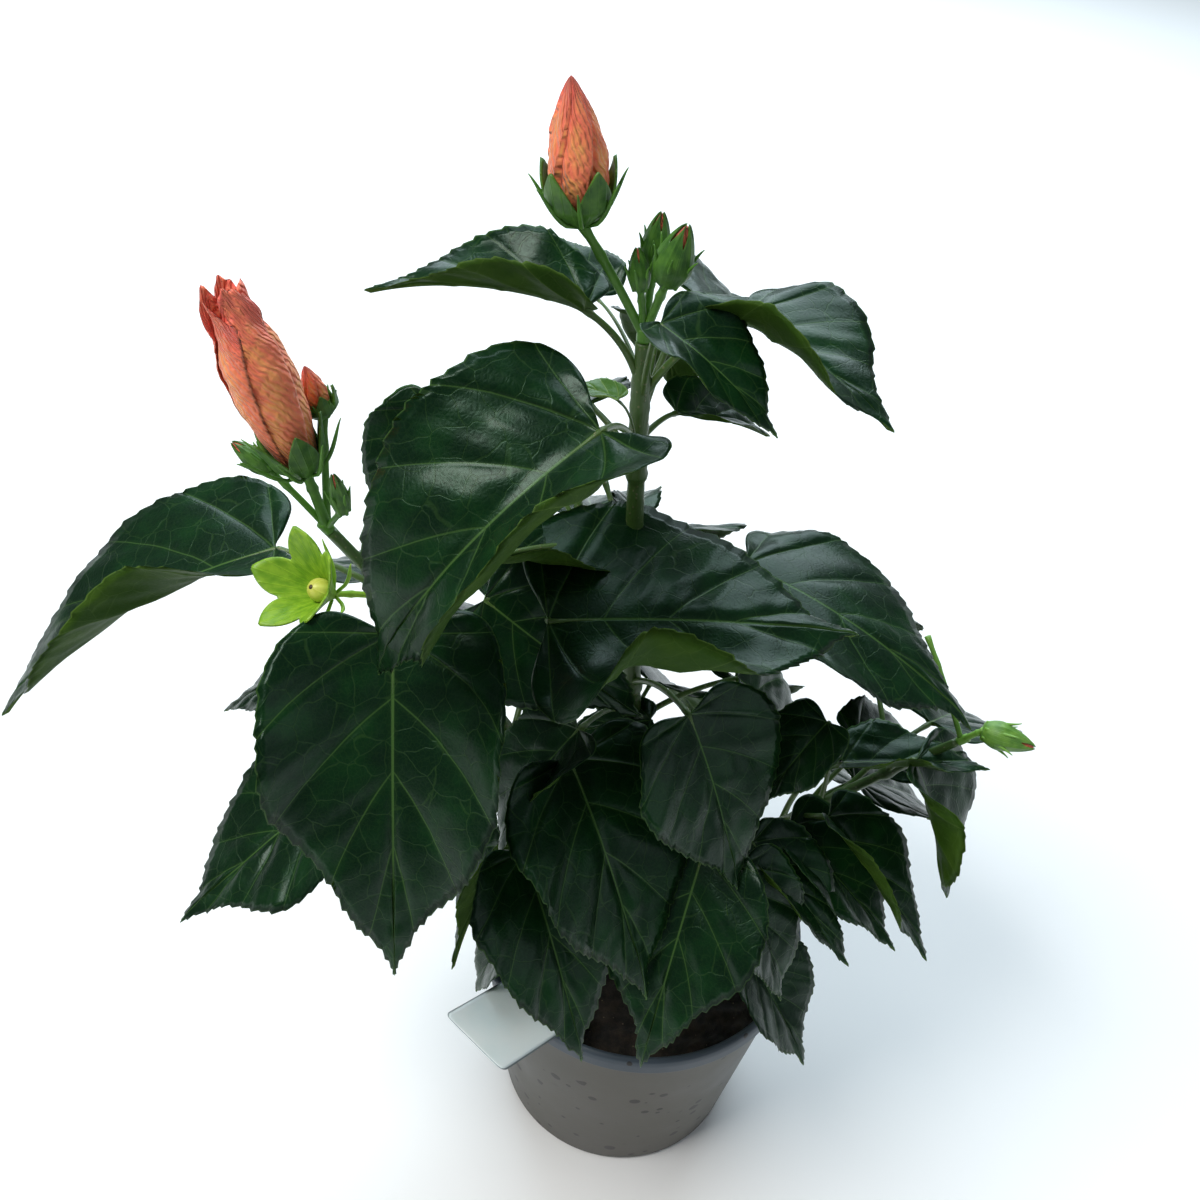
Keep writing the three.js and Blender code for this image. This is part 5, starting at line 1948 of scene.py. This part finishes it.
@dataclass(frozen=True)
class Label:
    """The blank label: a card with rounded corners on a stake that leans over the rim.

    Its outer end lies a reach from the pot's middle; its underside crosses the circle of the
    rim at the height base, and the stake goes down into the mix at the slope in degrees.
    """

    width: float = 30.0
    card: float = 42.0
    stake: float = 36.0
    neck: float = 5.0
    point: float = 1.5
    shoulder: float = 6.0
    thick: float = 0.8
    heading: float = -39.0
    slope: float = 22.0
    reach: float = 90.0
    rim: float = 61.0
    base: float = 112.3
    corner: float = 2.2

    def build(self, finish: Material) -> None:
        """Makes the label, a little bent along its length.

        Args:
            finish: The card's material.
        """
        t = np.concatenate([self.corner * (1 - np.cos(np.linspace(0, math.pi / 2, 8))),
                            np.linspace(self.corner + 1, self.card + self.stake, 60)])[:, None]
        half, below = self.width / 2, self.card + self.shoulder
        inner = half - self.corner + np.sqrt(np.maximum(self.corner**2 - (self.corner - t) ** 2, 0))
        body = np.where(t < self.corner, inner, half)
        neck = self.neck + (self.point - self.neck) * (t - below) / (self.stake - self.shoulder)
        spread = np.where(t < self.card, body, half + (self.neck - half) * smooth(self.card, below, t))
        spread = np.where(t > below, neck, spread)
        across = np.linspace(-1, 1, 17)[None, :] * spread
        inward, sideways = toward(self.heading + 180, -self.slope), toward(self.heading + 270, 0)
        up = np.cross(sideways, inward)
        outer = toward(self.heading, 0) * self.reach
        crossing = math.sqrt(self.rim**2 - half**2)
        outer[2] = self.base + (self.reach - crossing) * math.tan(math.radians(self.slope))
        bend = 0.35 * np.sin(math.pi * np.minimum(t / self.card, 1)) - 0.0004 * across**2
        grid = outer + sideways * across[..., None] + inward * (t + 0 * across)[..., None]
        grid = grid + up * (self.thick / 2 + 0.05 + bend)[..., None]
        draft = Draft(2)
        plate(draft, grid, self.thick, 60.0)
        draft.build("label_card", [finish], "label", "plant_label")


# ---- stage --------------------------------------------------------------------------------------
@dataclass(frozen=True)
class Stage:
    """The pale floor, the soft lights and the camera."""

    eye: Triple = (-29.0, -278.0, 522.0)
    pitch: float = 41.7
    roll: float = 6.0
    lens: float = 36.0
    sensor: float = 36.0
    near: float = 0.01
    floor_side: float = 8.0
    floor_colour: Triple = (0.93, 0.93, 0.92)
    floor_rough: float = 0.9
    sky: Triple = (0.82, 0.90, 1.0)
    sky_strength: float = 0.16
    aim: Triple = (0.0, 0.0, 0.22)

    def build(self) -> None:
        """Makes the camera, the floor and the lights."""
        self.make_camera()
        self.make_floor()
        self.make_lights()

    def make_camera(self) -> None:
        """A camera that looks along +Y, pitched down and rolled."""
        data = bpy.data.cameras.new("View")
        data.lens, data.sensor_width, data.clip_start = self.lens, self.sensor, self.near
        camera = bpy.data.objects.new("View", data)
        p, r = math.radians(self.pitch), math.radians(self.roll)
        ahead = np.array([0.0, math.cos(p), -math.sin(p)])
        right = np.array([1.0, 0.0, 0.0])
        above = np.cross(right, ahead)
        across = math.cos(r) * right + math.sin(r) * above
        upward = -math.sin(r) * right + math.cos(r) * above
        matrix = Matrix.Identity(4)
        for column, vector in enumerate((across, upward, -ahead)):
            for row in range(3):
                matrix[row][column] = vector[row]
        matrix.translation = Vector(self.eye) * MM
        camera.matrix_world = matrix
        bpy.context.scene.collection.objects.link(camera)
        bpy.context.scene.camera = camera

    def make_floor(self) -> None:
        """A plain pale floor."""
        half = self.floor_side / 2
        mesh = bpy.data.meshes.new("Floor")
        corners = [(-half, -half, 0), (half, -half, 0), (half, half, 0), (-half, half, 0)]
        mesh.from_pydata(corners, [], [(0, 1, 2, 3)])
        paint = Paint("Floor")
        paint.set(Base_Color=self.floor_colour, Roughness=self.floor_rough)
        mesh.materials.append(paint.material)
        floor = bpy.data.objects.new("Floor", mesh)
        bpy.context.scene.collection.objects.link(floor)

    def make_lights(self) -> None:
        """A pale sky, a wide cool panel behind and above, and a soft key from the front left."""
        world = bpy.data.worlds.new("Sky")
        world.use_nodes = True
        background = world.node_tree.nodes["Background"]
        background.inputs["Color"].default_value = (*self.sky, 1.0)
        background.inputs["Strength"].default_value = self.sky_strength
        bpy.context.scene.world = world
        bpy.context.scene.view_settings.view_transform = "Standard"
        self.add_panel("Sky panel", (0.0, 1.4, 1.5), side=2.0, power=48.0, colour=(0.78, 0.91, 1.0))
        self.add_panel("Key", (-1.0, -0.5, 2.0), side=0.9, power=36.0, colour=(1.0, 0.98, 0.95))
        self.add_panel("Fill", (1.5, -0.8, 1.0), side=1.2, power=3.5, colour=(0.9, 0.96, 1.0))

    def add_panel(self, name: str, place: Triple, side: float, power: float, colour: Triple) -> None:
        """A square area light that faces the plant.

        Args:
            name: The light's name.
            place: Where it stands, in metres.
            side: Its side in metres.
            power: Its power in watts.
            colour: Its colour.
        """
        data = bpy.data.lights.new(name, "AREA")
        data.size, data.energy, data.color = side, power, colour
        light = bpy.data.objects.new(name, data)
        light.location = place
        ahead = Vector(self.aim) - Vector(place)
        light.rotation_euler = ahead.to_track_quat("-Z", "Y").to_euler()
        bpy.context.scene.collection.objects.link(light)


LEAF_FINISHES = (
    LeafFinish("Leaf upper", Face.UPPER, base=(0.002, 0.014, 0.004), patch=(0.004, 0.028, 0.006),
               vein=(0.07, 0.15, 0.035), rough=0.34, coat=0.14),
    LeafFinish("Leaf lower", Face.LOWER, base=(0.024, 0.060, 0.005), patch=(0.040, 0.085, 0.008),
               vein=(0.10, 0.17, 0.035), rough=0.6, coat=0.0),
    LeafFinish("Young upper", Face.UPPER, base=(0.05, 0.13, 0.02), patch=(0.07, 0.17, 0.03),
               vein=(0.22, 0.33, 0.09), rough=0.4, coat=0.2),
    LeafFinish("Young lower", Face.LOWER, base=(0.08, 0.16, 0.03), patch=(0.10, 0.19, 0.04),
               vein=(0.25, 0.34, 0.1), rough=0.6, coat=0.05),
)
STALK = StemFinish("Leaf stalk", young=(0.06, 0.13, 0.022), old=(0.12, 0.11, 0.04))
SHOOT = StemFinish("Shoot", young=(0.05, 0.11, 0.02), old=(0.12, 0.085, 0.04))
PETAL = PetalFinish("Petal", heart=(1.0, 0.40, 0.11), body=(1.0, 0.24, 0.10), rose_and_fold_shade=(1.0, 0.11, 0.12))
SEPAL = GreenFinish("Sepal", base=(0.025, 0.10, 0.008), light=(0.075, 0.20, 0.02))
FRESH = GreenFinish("Fresh bud", base=(0.07, 0.20, 0.02), light=(0.15, 0.32, 0.04))
SPENT = GreenFinish("Spent calyx", base=(0.15, 0.34, 0.012), light=(0.30, 0.52, 0.03))
SEED_CASE = GreenFinish("Seed case", base=(0.60, 0.62, 0.08), light=(0.72, 0.72, 0.16))
SCAR = GreenFinish("Scar", base=(0.05, 0.03, 0.01), light=(0.08, 0.05, 0.02))


def main() -> None:
    """Builds and dresses every piece in order."""
    logging.basicConfig(level=logging.INFO, format="%(name)s %(message)s")
    veins = vein_group()
    Foliage().build([finish.make(veins) for finish in LEAF_FINISHES], STALK.make())
    Shoots().build(SHOOT.make())
    petal, sepal, fresh = PETAL.make(), SEPAL.make(), FRESH.make()
    for name, spray in SPRAYS.items():
        spray.build(name, petal, [fresh if name == "right" else sepal, petal])
    SpentCalyx().build([SPENT.make(), SEED_CASE.make(), SCAR.make()])
    Pot().build(PotFinish().make())
    Mix().build(MixFinish().make())
    Label().build(LabelFinish().make())
    Stage().build()


if __name__ == "__main__":
    main()
